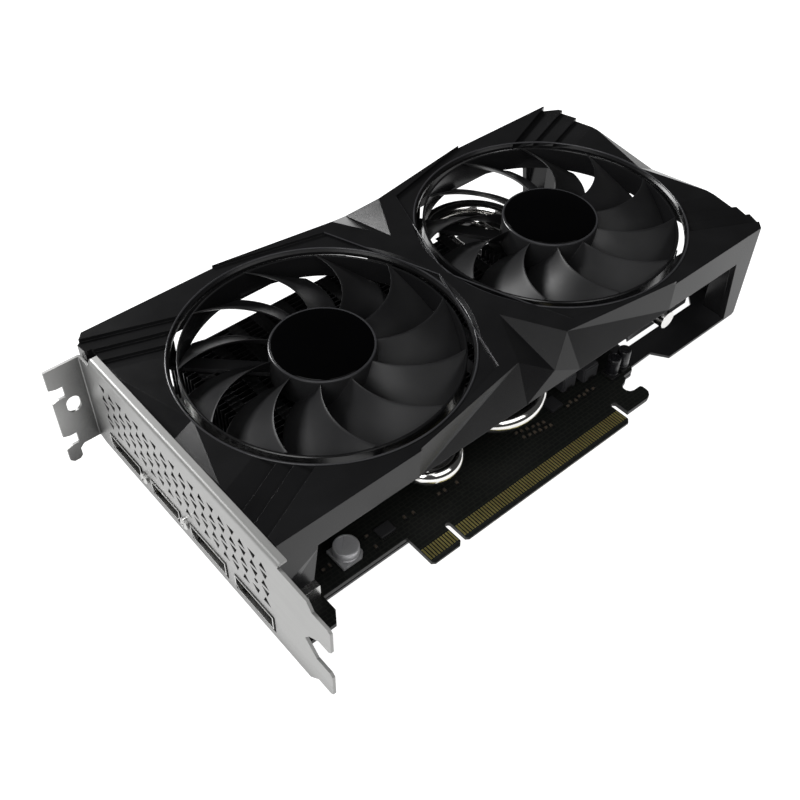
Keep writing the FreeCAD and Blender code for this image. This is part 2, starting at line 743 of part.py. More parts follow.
def cold_plate():
    """Copper block on the chip, grooved for the two pipes that cross it, with spring-screw ears."""
    top = LOW_PIPE_Z - 0.2
    block = box(GPU_X - PLATE_HALF, GPU_X + PLATE_HALF, GPU_Y - PLATE_HALF, GPU_Y + PLATE_HALF,
                PLATE_LOW, top)
    parts = [block]
    for x, y in spring_screw_places():
        parts.append(disc(3.2, x, y, EAR_LOW, EAR_TOP))
        inner_x = GPU_X + math.copysign(PLATE_HALF - 2, x - GPU_X)
        inner_y = GPU_Y + math.copysign(PLATE_HALF - 2, y - GPU_Y)
        outline = [(inner_x - 2.0, inner_y + 2.0), (inner_x + 2.0, inner_y - 2.0),
                   (x + 2.0, y - 2.0), (x - 2.0, y + 2.0)]
        if (x - GPU_X) * (y - GPU_Y) < 0:
            outline = [(inner_x - 2.0, inner_y - 2.0), (inner_x + 2.0, inner_y + 2.0),
                       (x + 2.0, y + 2.0), (x - 2.0, y - 2.0)]
        parts.append(prism_z(outline, EAR_LOW, EAR_TOP))
    plate = fuse_all(parts)
    for x, z in ((73.2, LOW_PIPE_Z), (82.9, LOW_PIPE_Z)):
        plate = plate.cut(Part.makeCylinder(PIPE_R, 60, V(x, GPU_Y - 30, z), V(0, 1, 0)))
    holes = [disc(1.35, x, y, 0, 8) for x, y in spring_screw_places()]
    return plate.cut(holes)


def spring_screws():
    screws = []
    for x, y in spring_screw_places():
        head = disc(2.9, x, y, SPRING_TOP, SPRING_TOP + 1.4)
        stem = disc(1.2, x, y, BACKPLATE_LOW + BACKPLATE_T, SPRING_TOP)
        screws.append(head.fuse(stem))
    return screws


def screw_springs():
    """Each coil spring as a plain sleeve between the ear and the screw head."""
    return [tube(2.4, 1.6, x, y, EAR_TOP, SPRING_TOP) for x, y in spring_screw_places()]


# ---------------------------------------------------------------- backplate
def backplate():
    """Sheet behind the board with the cut-out the tail fins blow through."""
    front = PLATE_FRONT
    outline = [
        (3.0, front), (138.0, front), (144.4, 14.6), (148.6, 14.6), (151.0, 16.9),
        (161.8, 17.2), (165.4, 11.8),
        (200.6, 11.8), (203.0, 15.4), (203.0, 105.0), (200.0, 109.4), (163.0, 109.4),
        (160.0, 106.5), (8.0, 106.5), (3.0, 102.0),
    ]
    low = BACKPLATE_LOW
    plate = prism_z(outline, low, low + BACKPLATE_T)
    x0, x1, y0, y1 = VENT_BOX
    corner = VENT_CORNER
    middle = 0.5 * (y0 + y1)
    cuts = []
    for near, far in ((y0, middle - VENT_BAR), (middle + VENT_BAR, y1)):
        window = [(x0, near), (x1 - corner, near), (x1, near + corner), (x1, far - corner),
                  (x1 - corner, far), (x0, far)]
        cuts.append(prism_z(window, low - CUT, 0))
    cuts += [disc(PLATE_HOLE_R, x, y, low - CUT, 0) for x, y in backplate_screw_places()]
    lands = [tube(LAND_R, PLATE_HOLE_R, x, y, low + BACKPLATE_T, -BOARD_T)
             for x, y in board_screw_places()]
    return fuse_all([plate.cut(cuts)] + lands)


def board_screw_places():
    return [(12.5, 101.5), (20.0, 34.0), (146.5, 98.0), (146.5, 22.0)]


def tail_screw_places():
    return [(198.0, 17.0), (198.0, 104.6)]


def backplate_screw_places():
    return board_screw_places() + tail_screw_places()


def backplate_screws():
    """Screws from behind: short ones into lands under the board, long ones into the tail posts."""
    screws = []
    for x, y in backplate_screw_places():
        in_tail = (x, y) in tail_screw_places()
        top = TAIL_SCREW_TOP if in_tail else -0.1
        stem = disc(PLATE_SCREW_R, x, y, BACKPLATE_LOW, top)
        head = disc(PLATE_HEAD_R, x, y, BACKPLATE_LOW - PLATE_HEAD_T, BACKPLATE_LOW)
        screws.append(stem.fuse(head))
    return screws


# ---------------------------------------------------------------- shroud
def mirrored(points, flip_x, flip_y):
    """Reflect card-frame points about the shroud's middle."""
    result = []
    for p in points:
        x = 2 * MID_X - p.x if flip_x else p.x
        y = 2 * MID_Y - p.y if flip_y else p.y
        result.append(V(x, y, p.z))
    return result


def waist_facets(flip_y):
    """Facets that pull the long wall in at mid-length, with a pointed dent in the roof."""
    wall_low = BACK_LOW_Z if flip_y else WALL_LOW_Z
    a = V(50.3, SHROUD_Y0, RAISED_Z)
    b = V(93.2, SHROUD_Y0 + 6.3, RAISED_Z)
    d = V(MID_X, SHROUD_Y0 + 24.5, RAISED_Z)
    low = V(92.0, SHROUD_Y0, wall_low)
    dent = V(MID_X, SHROUD_Y0 + 0.8, DENT_Z)
    f, g, low_r = mirrored([b, a, low], True, False)
    corners = mirrored([a, b, d, low, dent, f, g, low_r], False, flip_y)
    a, b, d, low, dent, f, g, low_r = corners
    eye = mirrored([V(MID_X, SHROUD_Y0 - 40, RAISED_Z + 40)], False, flip_y)[0]
    foot_a = V(a.x, a.y, wall_low)
    foot_g = V(g.x, g.y, wall_low)
    facets = [(foot_a, b, low), (a, b, foot_a), (low, b, dent), (b, d, dent), (d, f, dent),
              (f, low_r, dent), (low, dent, low_r), (f, low_r, foot_g), (f, foot_g, g)]
    return eye, facets


def post_crease():
    """Facets that fold the post by the bracket inwards below a slanting crease."""
    fold_in = 1.1
    high = V(15.4, SHROUD_Y0, 22.9)
    side = V(SHROUD_X0, SHROUD_Y0, 15.6)
    foot_near = V(SHROUD_X0, SHROUD_Y0 + fold_in, TAB_LOW_Z - 0.5)
    foot_far = V(15.4, SHROUD_Y0 + fold_in, TAB_LOW_Z - 0.5)
    eye = V(9.0, SHROUD_Y0 - 30, 5.0)
    return eye, [(high, side, foot_near), (high, foot_near, foot_far)]


def end_facets(at_tail):
    """Pointed dent in the middle of each short side."""
    x_edge = SHROUD_X1 if at_tail else SHROUD_X0
    side = -1 if at_tail else 1
    apex = V(x_edge + side * 7.2, MID_Y - 1.0, PLATE_Z)
    near = V(x_edge, MID_Y - 24.5, PLATE_Z)
    far = V(x_edge, MID_Y + 25.0, PLATE_Z)
    dent = V(x_edge, MID_Y - 1.5, PLATE_Z - END_DENT)
    eye = V(x_edge - side * 30, MID_Y, PLATE_Z + 30)
    return eye, [(near, apex, dent), (apex, far, dent)]


def rib_cut(high_line, deep_line, depth):
    """Wedge between two lines on the roof: nothing at the first, deepest at the second."""
    lift = 2.5
    sections = []
    for end in (0, 1):
        hx, hy = high_line[end]
        dx, dy = deep_line[end]
        section = [V(hx, hy, PLATE_Z + 0.0), V(hx, hy, PLATE_Z + lift), V(dx, dy, PLATE_Z + lift),
                   V(dx, dy, PLATE_Z - depth)]
        sections.append(Part.makePolygon(section + [section[0]]))
    return Part.makeLoft(sections, True, True)


def stretch(line_ends, outward, inward):
    """Lengthen a roof line past both of its ends."""
    (x0, y0), (x1, y1) = line_ends
    length = math.hypot(x1 - x0, y1 - y0)
    ux = (x1 - x0) / length
    uy = (y1 - y0) / length
    return ((x0 - ux * outward, y0 - uy * outward), (x1 + ux * inward, y1 + uy * inward))


CORNER_LINES = {
    "front_left": [((3.2, 33.6), (16.0, 38.8)), ((3.2, 25.7), (19.7, 33.3)),
                   ((3.2, 20.6), (22.4, 29.6)), ((3.2, 15.1), (26.5, 25.6))],
    "back_left": [((3.2, 90.8), (18.0, 85.7)), ((3.2, 96.0), (21.2, 89.6)),
                  ((3.2, 101.6), (24.9, 94.3)), ((3.2, 107.6), (30.7, 98.0))],
    "front_right": [((204.0, 33.2), (189.0, 38.4)), ((204.0, 24.0), (187.7, 32.6)),
                    ((204.0, 18.6), (183.5, 29.2)), ((204.0, 13.6), (181.0, 25.5))],
    "back_right": [((204.0, 88.4), (187.0, 83.6)), ((204.0, 96.5), (183.0, 89.5)),
                   ((204.0, 103.5), (178.0, 94.5)), ((201.0, 110.0), (172.6, 99.0))],
}


def shroud_outline(inset):
    x0 = SHROUD_X0 + inset
    x1 = SHROUD_X1 - inset
    y0 = SHROUD_Y0 + inset
    y1 = SHROUD_Y1 - inset
    return [(x0, y0), (x1 - 3.4, y0), (x1, y0 + 3.6), (x1, y1 - 4.8), (x1 - 3.6, y1),
            (x0 + 1.0, y1), (x0, y1 - 1.0)]


def waisted_outline(inset, end_inset, pull):
    """Outline of the hollow, drawn in where the long walls lean inwards."""
    x0 = SHROUD_X0 + end_inset
    x1 = SHROUD_X1 - end_inset
    y0 = SHROUD_Y0 + inset
    y1 = SHROUD_Y1 - inset
    lean = [(52.0, 0.0), (76.0, 2.6), (90.0, pull)]
    lean += [(2 * MID_X - x, depth) for x, depth in lean[::-1]]
    front = [(x, y0 + depth) for x, depth in lean]
    back = [(x, y1 - depth) for x, depth in lean[::-1]]
    tail = [(x1 - 3.0, y0), (x1, y0 + 3.0), (x1, y1 - 4.0), (x1 - 3.0, y1)]
    return [(x0, y0)] + front + tail + back + [(x0, y1)]


def raised_plate():
    """Centre of the roof, a little higher than the rest and pinched at the middle."""
    left = [(50.3, SHROUD_Y1), (88.0, 101.2), (102.4, MID_Y + 0.5), (88.0, 20.6),
            (50.3, SHROUD_Y0)]
    right = [(2 * MID_X - x, y) for x, y in left[::-1]]
    return prism_z(left + right, PLATE_Z - 1, RAISED_Z)


def shroud():
    bottom = BACKPLATE_LOW + BACKPLATE_T
    body = prism_z(shroud_outline(0), bottom, PLATE_Z)
    ear = prism_z([(1.0, FLANGE_Y1 + 3.0), (1.0, SHROUD_Y1 - 3.2), (SHROUD_X0 + 0.1, SHROUD_Y1 - 1.1),
                   (SHROUD_X0 + 0.1, FLANGE_Y1 + 3.0)], WALL_LOW_Z, PLATE_Z)
    body = fuse_all([body, ear, raised_plate()])
    ceiling = PLATE_Z - ROOF
    body = body.cut(prism_z(waisted_outline(WALL, END_WALL, WAIST_PULL), WALL_LOW_Z - 2, ceiling))
    body = body.cut(prism_z(shroud_outline(WALL), bottom - 1, WALL_LOW_Z))
    body = body.cut(shroud_windows(bottom))
    bores = []
    for number in (1, 2):
        x = fan_x(number)
        bores.append(disc(OPENING_R, x, FAN_Y, ceiling - 1, RAISED_Z + 5))
        mouth = V(x, FAN_Y, PLATE_Z - 0.8)
        bores.append(Part.makeCone(OPENING_R, OPENING_R + LIP_FLARE, LIP_FLARE, mouth))
        flare = MOUTH_LOW_Z - ceiling + 1
        under = V(x, FAN_Y, ceiling - 1)
        bores.append(Part.makeCone(OPENING_R + flare, OPENING_R, flare, under))
    for flip_y in (False, True):
        eye, facets = waist_facets(flip_y)
        body = carve(body, eye, facets)
    for at_tail in (False, True):
        eye, facets = end_facets(at_tail)
        body = carve(body, eye, facets)
    eye, facets = post_crease()
    body = carve(body, eye, facets)
    outward = 3.0
    inward = 14.0
    for name, lines in CORNER_LINES.items():
        steps = len(lines) - 1
        for index in range(steps):
            high = stretch(lines[index], outward, inward)
            deep = stretch(lines[index + 1], outward, inward)
            last = name.endswith("right") and index == steps - 1
            body = body.cut(rib_cut(high, deep, CORNER_STEP if last else RIB_STEP))
    body = body.cut(bores)
    post_top = WALL_LOW_Z + 2
    shell = prism_z(shroud_outline(0.4), bottom, post_top)
    posts = []
    for x, y in tail_screw_places():
        post = box(x - 2.6, x + 3.6, y - 4.4, y + 4.0, bottom, post_top)
        posts.append(post.common(shell))
    body = fuse_all([body] + posts)
    holes = [disc(PLATE_SCREW_R, x, y, bottom - 1, TAIL_SCREW_TOP) for x, y in tail_screw_places()]
    boss_x, boss_y = board_screw_places()[0]
    boss = disc(LAND_R, boss_x, boss_y, 0, ceiling + 1)
    return fuse_all([body, boss]).cut(holes)


def long_window(bottom, low_z):
    """Side view of the opening under a long wall, as X and Z corners."""
    return [(-5, bottom - 1), (195.0, bottom - 1), (191.6, low_z), (15.4, low_z),
            (14.2, TAB_LOW_Z), (-5, TAB_LOW_Z)]


def shroud_windows(bottom):
    """Everything below the long walls, the bracket end and the tail end is open."""
    depth = WALL + 0.5
    near = SHROUD_Y0 + depth
    far = SHROUD_Y1 - depth
    front = prism_y(long_window(bottom, WALL_LOW_Z), SHROUD_Y0 - 5, near)
    back = prism_y(long_window(bottom, BACK_LOW_Z), far, SHROUD_Y1 + 5)
    bracket_end = box(-5, SHROUD_X0 + depth, near, far, bottom - 1, WALL_LOW_Z)
    tail_end = prism_x([(near + 14, bottom - 1), (far - 6, bottom - 1), (far - 9, END_LOW_Z),
                        (near + 24, END_LOW_Z)], SHROUD_X1 - WALL - 4, SHROUD_X1 + 5)
    return [front, back, bracket_end, tail_end]


# ---------------------------------------------------------------- fans
def fan_x(number):
    return MID_X + (number - 1.5) * FAN_PITCH


def blade_section(radius):
    """Closed outline of a blade at one radius, in the plane square to the radius."""
    share = max((radius - HUB_R) / (RING_R - HUB_R), 0.0)
    lead = BLADE_SWEEP_DEG * share ** 1.6
    chord = math.radians(BLADE_CHORD_DEG) * radius
    middle = math.radians(lead - 0.5 * BLADE_CHORD_DEG)
    out = V(math.cos(middle), math.sin(middle), 0)
    along = V(-math.sin(middle), math.cos(middle), 0)
    profile = [(0.5, 1.0), (0.25, 0.66), (0.0, 0.38), (-0.25, 0.16), (-0.5, 0.0)]
    height = BLADE_HIGH_Z - BLADE_LOW_Z - BLADE_T
    top = []
    under = []
    for s, lift in profile:
        flat = out * radius + along * (s * chord)
        z = BLADE_LOW_Z + lift * height
        top.append(V(flat.x, flat.y, z + BLADE_T))
        under.append(V(flat.x, flat.y, z))
    return Part.makePolygon(top + under[::-1] + [top[0]])


def blade():
    """One swept blade, trimmed to the hub and the ring."""
    radii = [HUB_R - 1.0, 20.0, 25.0, 30.0, 35.0, 39.0, RING_R + 0.5]
    loft = Part.makeLoft([blade_section(r) for r in radii], True, False)
    keep = tube(RING_R - 0.3, HUB_R - 0.5, 0, 0, BLADE_LOW_Z - 1, BLADE_HIGH_Z + 1)
    return loft.common(keep)


def rotor(number):
    """Hub cup with its shaft boss, the swept blades and the thin ring round their tips."""
    roof = HUB_TOP_Z - HUB_WALL
    cup = disc(HUB_R, 0, 0, BLADE_LOW_Z, HUB_TOP_Z)
    cup = cup.cut(disc(HUB_R - HUB_WALL, 0, 0, BLADE_LOW_Z - 1, roof))
    boss = tube(2 * SHAFT_R, SHAFT_R, 0, 0, roof - BOSS_DROP, roof)
    ring = tube(RING_R, RING_R - RING_T, 0, 0, RING_LOW_Z, RING_HIGH_Z)
    parts = [cup, boss, ring]
    step = 360.0 / BLADES
    pattern = blade()
    for index in range(BLADES):
        copy = pattern.copy()
        copy.rotate(V(0, 0, 0), V(0, 0, 1), FAN_ANGLES[number] + index * step)
        parts.append(copy)
    body = parts[0].multiFuse(parts[1:])
    body.translate(V(fan_x(number), FAN_Y, 0))
    return body


def badge(number):
    return disc(BADGE_R, fan_x(number), FAN_Y, HUB_TOP_Z, HUB_TOP_Z + BADGE_T)


def yoke(number):
    """Steel ring lining the hub."""
    outer = HUB_R - HUB_WALL
    return tube(outer, outer - YOKE_T, fan_x(number), FAN_Y, 26.2, HUB_TOP_Z - HUB_WALL)


def magnet(number):
    outer = HUB_R - HUB_WALL - YOKE_T
    return tube(outer, outer - MAGNET_T, fan_x(number), FAN_Y, 26.6, 33.0)


def shaft(number):
    return disc(SHAFT_R, fan_x(number), FAN_Y, BASE_Z + BASE_T + 0.4, HUB_TOP_Z - HUB_WALL)


def sleeve(number):
    """Bearing sleeve standing on the base."""
    top = HUB_TOP_Z - HUB_WALL - BOSS_DROP - 0.5
    bore = SHAFT_R + BEARING_CLEARANCE
    return tube(SLEEVE_R, bore, fan_x(number), FAN_Y, BASE_Z + BASE_T, top)


def stator(number):
    """Laminated core with four poles, wound."""
    x = fan_x(number)
    core = tube(5.2, 3.2, x, FAN_Y, 26.6, 31.8)
    poles = []
    for index in range(4):
        pole = box(4.6, 10.0, -1.6, 1.6, 27.2, 31.2)
        shoe = tube(11.4, 9.6, 0, 0, 26.8, 31.6).common(box(0, 12, -6.4, 6.4, 26, 32))
        arm = pole.fuse(shoe)
        arm.rotate(V(0, 0, 0), V(0, 0, 1), 90.0 * index)
        arm.translate(V(x, FAN_Y, 0))
        poles.append(arm)
    return fuse_all([core] + poles)


def motor_board(number):
    z = BASE_Z + BASE_T
    return tube(12.0, 3.2, fan_x(number), FAN_Y, z, z + 0.8)


def motor_base(number):
    """Round motor mount with three struts that end in pillars under the roof."""
    x = fan_x(number)
    rim_r = 14.0
    strut_low = BASE_Z
    strut_high = BASE_Z + BASE_T
    parts = [disc(rim_r, 0, 0, BASE_Z, strut_high),
             tube(rim_r, rim_r - 1.2, 0, 0, BASE_Z, BASE_Z + 1.6 * BASE_T)]
    half = 0.5 * STRUT_W
    for angle in STRUT_ANGLES[number]:
        strut = box(rim_r - 1.0, PILLAR_R, -half, half, strut_low, strut_high)
        pillar = disc(FOOT_R, PILLAR_R, 0, strut_low, PLATE_Z - ROOF)
        for part in (strut, pillar):
            part.rotate(V(0, 0, 0), V(0, 0, 1), angle)
            parts.append(part)
    body = fuse_all(parts)
    body.translate(V(x, FAN_Y, 0))
    return body


def rounded_run(points):
    """Edges of straight runs joined by tangent arcs as large as the runs allow."""
    edges = []
    here = points[0]
    for before, corner, after in zip(points, points[1:], points[2:]):
        into = corner - before
        away = after - corner
        shorter = min(into.Length, away.Length)
        into.normalize()
        away.normalize()
        turn = into.getAngle(away)
        cut_back = ARC_SHARE * shorter
        radius = cut_back / math.tan(0.5 * turn)
        inward = away - into
        inward.normalize()
        centre = corner + inward * (radius / math.cos(0.5 * turn))
        enter = corner - into * cut_back
        leave = corner + away * cut_back
        edges.append(line(here, enter))
        edges.append(arc(enter, centre - inward * radius, leave))
        here = leave
    edges.append(line(here, points[-1]))
    return edges


def fan_cable(number):
    """Short sleeved lead from the end of a strut down into its plug on the board."""
    angle = math.radians(STRUT_ANGLES[number][1])
    out = V(math.cos(angle), math.sin(angle), 0)
    centre = V(fan_x(number), FAN_Y, BASE_Z - 0.2)
    start = centre + out * (PILLAR_R + FOOT_R + 0.46)
    hx, hy = FAN_HEADERS[number]
    end = V(hx, hy, PLUG_TOP)
    over = start + out * 3.9 + V(0, 0, -2.2)
    above = V(end.x, end.y, end.z + 6.0)
    return pipe_solid(rounded_run([start, over, above, end]), CABLE_R)


def main():
    os.makedirs("parts", exist_ok=True)
    save("io_bracket", io_bracket())
    save("bracket_screws", group(bracket_screws()))
    save("pcb", pcb())
    save("gold_fingers", group(gold_fingers()))
    for index, centre in enumerate(DP_CENTRES):
        save("dp_shell_%d" % (index + 1), dp_shell(centre))
        save("dp_insert_%d" % (index + 1), port_insert(centre, 13.0))
    save("hdmi_shell", hdmi_shell())
    save("hdmi_insert", port_insert(HDMI_CENTRE, 10.5))
    save("gpu_package", gpu_package())
    save("gpu_die", gpu_die())
    save("memory_chips", group(memory_chips()))
    save("thermal_pads", group(thermal_pads()))
    save("inductors", group(inductors()))
    save("power_stages", group(power_stages()))
    save("capacitor_feet", group(can_feet()))
    save("capacitor_cans", group(capacitor_cans()))
    save("controller_chips", group(controller_chips()))
    save("small_parts", group(small_parts()))
    save("power_connector", power_connector())
    save("power_pins", group(power_pins()))
    save("heat_pipe_1", heat_pipe_1())
    save("heat_pipe_2", heat_pipe_2())
    save("heat_pipe_3", heat_pipe_3())
    save("heat_pipe_4", heat_pipe_4())
    save("main_fins", group(main_fins()))
    save("tail_fins", group(tail_fins()))
    save("cold_plate", cold_plate())
    save("spring_screws", group(spring_screws()))
    save("screw_springs", group(screw_springs()))
    save("backplate", backplate())
    save("backplate_screws", group(backplate_screws()))
    save("shroud", shroud())
    for number in (1, 2):
        tag = "fan_%d_" % number
        save(tag + "rotor", rotor(number))
        save(tag + "badge", badge(number))
        save(tag + "yoke", yoke(number))
        save(tag + "magnet", magnet(number))
        save(tag + "shaft", shaft(number))
        save(tag + "sleeve", sleeve(number))
        save(tag + "stator", stator(number))
        save(tag + "motor_board", motor_board(number))
        save(tag + "base", motor_base(number))
        save(tag + "header", fan_header(number))
        save(tag + "plug", fan_plug(number))
        save(tag + "cable", fan_cable(number))


main()
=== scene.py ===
"""Looks of a dual-fan graphics card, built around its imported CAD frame.

The frame is in metres. Shapes are laid out in the card's own millimetres, which card() turns into
places in the frame.
"""

import json
import math

import bpy
import bmesh
from mathutils import Matrix, Vector


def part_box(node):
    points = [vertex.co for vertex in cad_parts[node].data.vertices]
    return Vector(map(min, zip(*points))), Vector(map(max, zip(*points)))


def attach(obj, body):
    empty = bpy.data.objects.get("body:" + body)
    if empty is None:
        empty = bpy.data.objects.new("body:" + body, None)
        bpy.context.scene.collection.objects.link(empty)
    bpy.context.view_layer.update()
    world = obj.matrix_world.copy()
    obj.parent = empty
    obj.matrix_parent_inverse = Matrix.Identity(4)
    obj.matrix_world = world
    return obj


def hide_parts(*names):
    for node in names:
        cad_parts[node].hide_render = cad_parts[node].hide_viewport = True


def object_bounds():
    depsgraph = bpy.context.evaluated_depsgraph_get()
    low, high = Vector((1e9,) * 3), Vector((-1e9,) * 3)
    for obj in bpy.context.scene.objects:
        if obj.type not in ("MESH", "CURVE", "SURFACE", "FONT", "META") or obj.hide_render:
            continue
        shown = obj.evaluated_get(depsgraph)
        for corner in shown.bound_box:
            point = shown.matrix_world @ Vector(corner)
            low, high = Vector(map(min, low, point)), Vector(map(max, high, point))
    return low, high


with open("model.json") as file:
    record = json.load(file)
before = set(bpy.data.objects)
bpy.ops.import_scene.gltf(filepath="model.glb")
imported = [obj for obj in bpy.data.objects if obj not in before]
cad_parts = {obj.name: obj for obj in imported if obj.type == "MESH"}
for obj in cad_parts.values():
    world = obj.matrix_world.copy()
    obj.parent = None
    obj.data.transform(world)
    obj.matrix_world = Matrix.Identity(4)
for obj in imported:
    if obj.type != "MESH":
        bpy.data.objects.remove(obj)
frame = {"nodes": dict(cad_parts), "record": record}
cad_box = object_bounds()
nodes = frame["nodes"]

MM = 0.001


# ------------------------------------------------------------------ places read from the frame
CARD_LOW, CARD_HIGH = Vector(cad_box[0]), Vector(cad_box[1])
CARD_MIDDLE = 0.5 * (CARD_LOW + CARD_HIGH)
# The card frame (mm) puts the bracket's face at x = 0, the edge connector's foot at y = 0 and the
# board's component side at z = 0; its box starts at this corner.
CARD_CORNER = Vector((-11.43, -13.36, -8.7))


def card(x, y, z):
    """A place given in card millimetres, in the frame's metres."""
    return CARD_LOW + (Vector((x, y, z)) - CARD_CORNER) * MM


def to_card(place):
    """A place in the frame, in card millimetres."""
    return (place - CARD_LOW) / MM + CARD_CORNER


def card_box(node):
    """Lowest and highest corner of a node's box, in card millimetres."""
    return [to_card(corner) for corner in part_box(node)]


# ------------------------------------------------------------------ material helpers
materials = {}


class Paint:
    """A node material round one Principled shader, kept in materials under its name."""

    def __init__(self, name):
        self.material = bpy.data.materials.new(name)
        self.material.use_nodes = True
        self.tree = self.material.node_tree
        self.shader = self.tree.nodes["Principled BSDF"]
        self.place = self.add("ShaderNodeTexCoord").outputs["Object"]
        materials[name] = self.material

    def add(self, kind, **settings):
        """A new node; a setting is the node's own property or the socket of that name."""
        node = self.tree.nodes.new(kind)
        for key, value in settings.items():
            if hasattr(node, key):
                setattr(node, key, value)
            else:
                node.inputs[key.replace("_", " ")].default_value = value
        return node

    def link(self, source, target):
        self.tree.links.new(source, target)

    def set(self, **values):
        for key, value in values.items():
            self.shader.inputs[key.replace("_", " ")].default_value = value

    def stretched(self, scale):
        node = self.add("ShaderNodeMapping", Scale=scale)
        self.link(self.place, node.inputs["Vector"])
        return node.outputs["Vector"]

    def noise(self, scale, detail, place=None):
        node = self.add("ShaderNodeTexNoise", Scale=scale, Detail=detail, Roughness=0.55)
        self.link(place or self.place, node.inputs["Vector"])
        return node.outputs["Fac"]

    def ramp(self, source, stops):
        node = self.add("ShaderNodeValToRGB")
        elements = node.color_ramp.elements
        for element, (position, colour) in zip(elements, stops):
            element.position = position
            element.color = (*colour, 1.0)
        self.link(source, node.inputs["Fac"])
        return node.outputs["Color"]

    def between(self, source, low, high):
        node = self.add("ShaderNodeMapRange", To_Min=low, To_Max=high)
        self.link(source, node.inputs["Value"])
        return node.outputs["Result"]

    def mix(self, factor, a, b, blend="MIX"):
        """Colours mixed by a factor; each of the three is a socket or a value."""
        node = self.add("ShaderNodeMix", data_type="RGBA", blend_type=blend)
        for socket, value in ((node.inputs[0], factor), (node.inputs[6], a), (node.inputs[7], b)):
            if isinstance(value, bpy.types.NodeSocket):
                self.link(value, socket)
            elif isinstance(value, float):
                socket.default_value = value
            else:
                socket.default_value = (*value, 1.0)
        return node.outputs[2]

    def highest(self, a, b):
        node = self.add("ShaderNodeMath", operation="MAXIMUM")
        self.link(a, node.inputs[0])
        self.link(b, node.inputs[1])
        return node.outputs[0]

    def bump(self, source, strength, distance, edge_radius):
        """Grain in the surface, over edges that catch the light as if rounded."""
        edges = self.add("ShaderNodeBevel", samples=4, Radius=edge_radius)
        node = self.add("ShaderNodeBump", Strength=strength, Distance=distance)
        self.link(source, node.inputs["Height"])
        self.link(edges.outputs["Normal"], node.inputs["Normal"])
        self.link(node.outputs["Normal"], self.shader.inputs["Normal"])

    def painted_crevice_shade(self, reach, dark_below, clear_above, colour):
        """Painted shade: the colour, falling to a tenth where other surfaces close in on it."""
        node = self.add("ShaderNodeAmbientOcclusion", samples=6, Distance=reach)
        return self.ramp(node.outputs["AO"], [(dark_below, times(0.1, colour)), (clear_above, colour)])

    def colour(self, source):
        self.link(source, self.shader.inputs["Base Color"])

    def rough(self, source):
        self.link(source, self.shader.inputs["Roughness"])


def times(factor, colour):
    return tuple(factor * channel for channel in colour)


def moulded(name, colour, rough, grain=5200.0, depth=0.35, index=1.46):
    """Moulded plastic with a fine spark-eroded grain and faint handling marks."""
    paint = Paint(name)
    paint.colour(paint.ramp(paint.noise(55.0, 3.0), [(0.35, colour), (0.75, times(1.5, colour))]))
    paint.rough(paint.between(paint.noise(130.0, 6.0), *rough))
    paint.bump(paint.noise(grain, 2.0), depth, 0.03 * MM, 0.25 * MM)
    paint.set(IOR=index)


def metal(name, colour, rough, grain=(900.0, 60.0, 900.0), depth=0.15):
    """Bare metal with a directional grain and slow tone changes."""
    paint = Paint(name)
    streak = paint.noise(1.0, 5.0, paint.stretched(grain))
    paint.colour(paint.ramp(paint.noise(70.0, 4.0), [(0.3, times(0.82, colour)), (0.7, colour)]))
    paint.rough(paint.between(streak, *rough))
    paint.bump(streak, depth, 0.02 * MM, 0.15 * MM)
    paint.set(Metallic=1.0)


def hollow_metal(name, colour):
    """Bright stamped metal with painted shade that darkens it inside deep sockets."""
    paint = Paint(name)
    # painted shade: the colour goes dark where the socket's walls close in
    paint.colour(paint.painted_crevice_shade(5.0 * MM, 0.30, 0.75, colour))
    paint.rough(paint.between(paint.noise(600.0, 3.0), 0.20, 0.34))
    paint.bump(paint.noise(900.0, 2.0), 0.05, 0.02 * MM, 0.1 * MM)
    paint.set(Metallic=1.0)


def gloss(name, colour, rough, index=1.4):
    """Smooth lacquer or polished plastic; rough is its glossiest value."""
    paint = Paint(name)
    paint.colour(paint.ramp(paint.noise(90.0, 2.0), [(0.3, colour), (0.8, times(1.3, colour))]))
    paint.rough(paint.between(paint.noise(420.0, 6.0), rough, 1.8 * rough))
    paint.set(IOR=index)


def solder_mask(name):
    """Black solder mask with faint copper runs under it and rows of tiny vias."""
    paint = Paint(name)
    runs = paint.add("ShaderNodeTexBrick", offset=0.37, squash=0.6, squash_frequency=3,
                     Scale=190.0, Mortar_Size=0.035, Mortar_Smooth=0.2)
    paint.link(paint.place, runs.inputs["Vector"])
    vias = paint.add("ShaderNodeTexVoronoi", Scale=330.0)
    paint.link(paint.place, vias.inputs["Vector"])
    dots = paint.ramp(vias.outputs["Distance"], [(0.10, (1, 1, 1)), (0.16, (0, 0, 0))])
    raised = paint.highest(runs.outputs["Fac"], dots)
    paint.colour(paint.mix(raised, (0.0045, 0.0050, 0.0048), (0.011, 0.012, 0.010)))
    paint.rough(paint.between(paint.noise(240.0, 5.0), 0.34, 0.50))
    paint.bump(raised, 0.25, 0.03 * MM, 0.1 * MM)
    paint.set(IOR=1.3)


def plated_steel(name):
    """Satin plated steel with faint wipe marks, and painted shade that darkens it in its folds and
    corners.
    """
    paint = Paint(name)
    streak = paint.noise(1.0, 4.0, paint.stretched((900.0, 40.0, 900.0)))
    wiped = paint.ramp(paint.noise(38.0, 5.0), [(0.3, (0.90, 0.90, 0.89)), (0.7, (1.0, 1.0, 0.99))])
    # painted shade: darker in the folds and by the bend, multiplied into the wiped tone
    shaded = paint.painted_crevice_shade(22.0 * MM, 0.47, 0.80, (0.30, 0.30, 0.298))
    paint.colour(paint.mix(1.0, wiped, shaded, "MULTIPLY"))
    paint.rough(paint.between(streak, 0.34, 0.46))
    paint.bump(streak, 0.1, 0.02 * MM, 0.12 * MM)
    paint.set(Metallic=0.55)


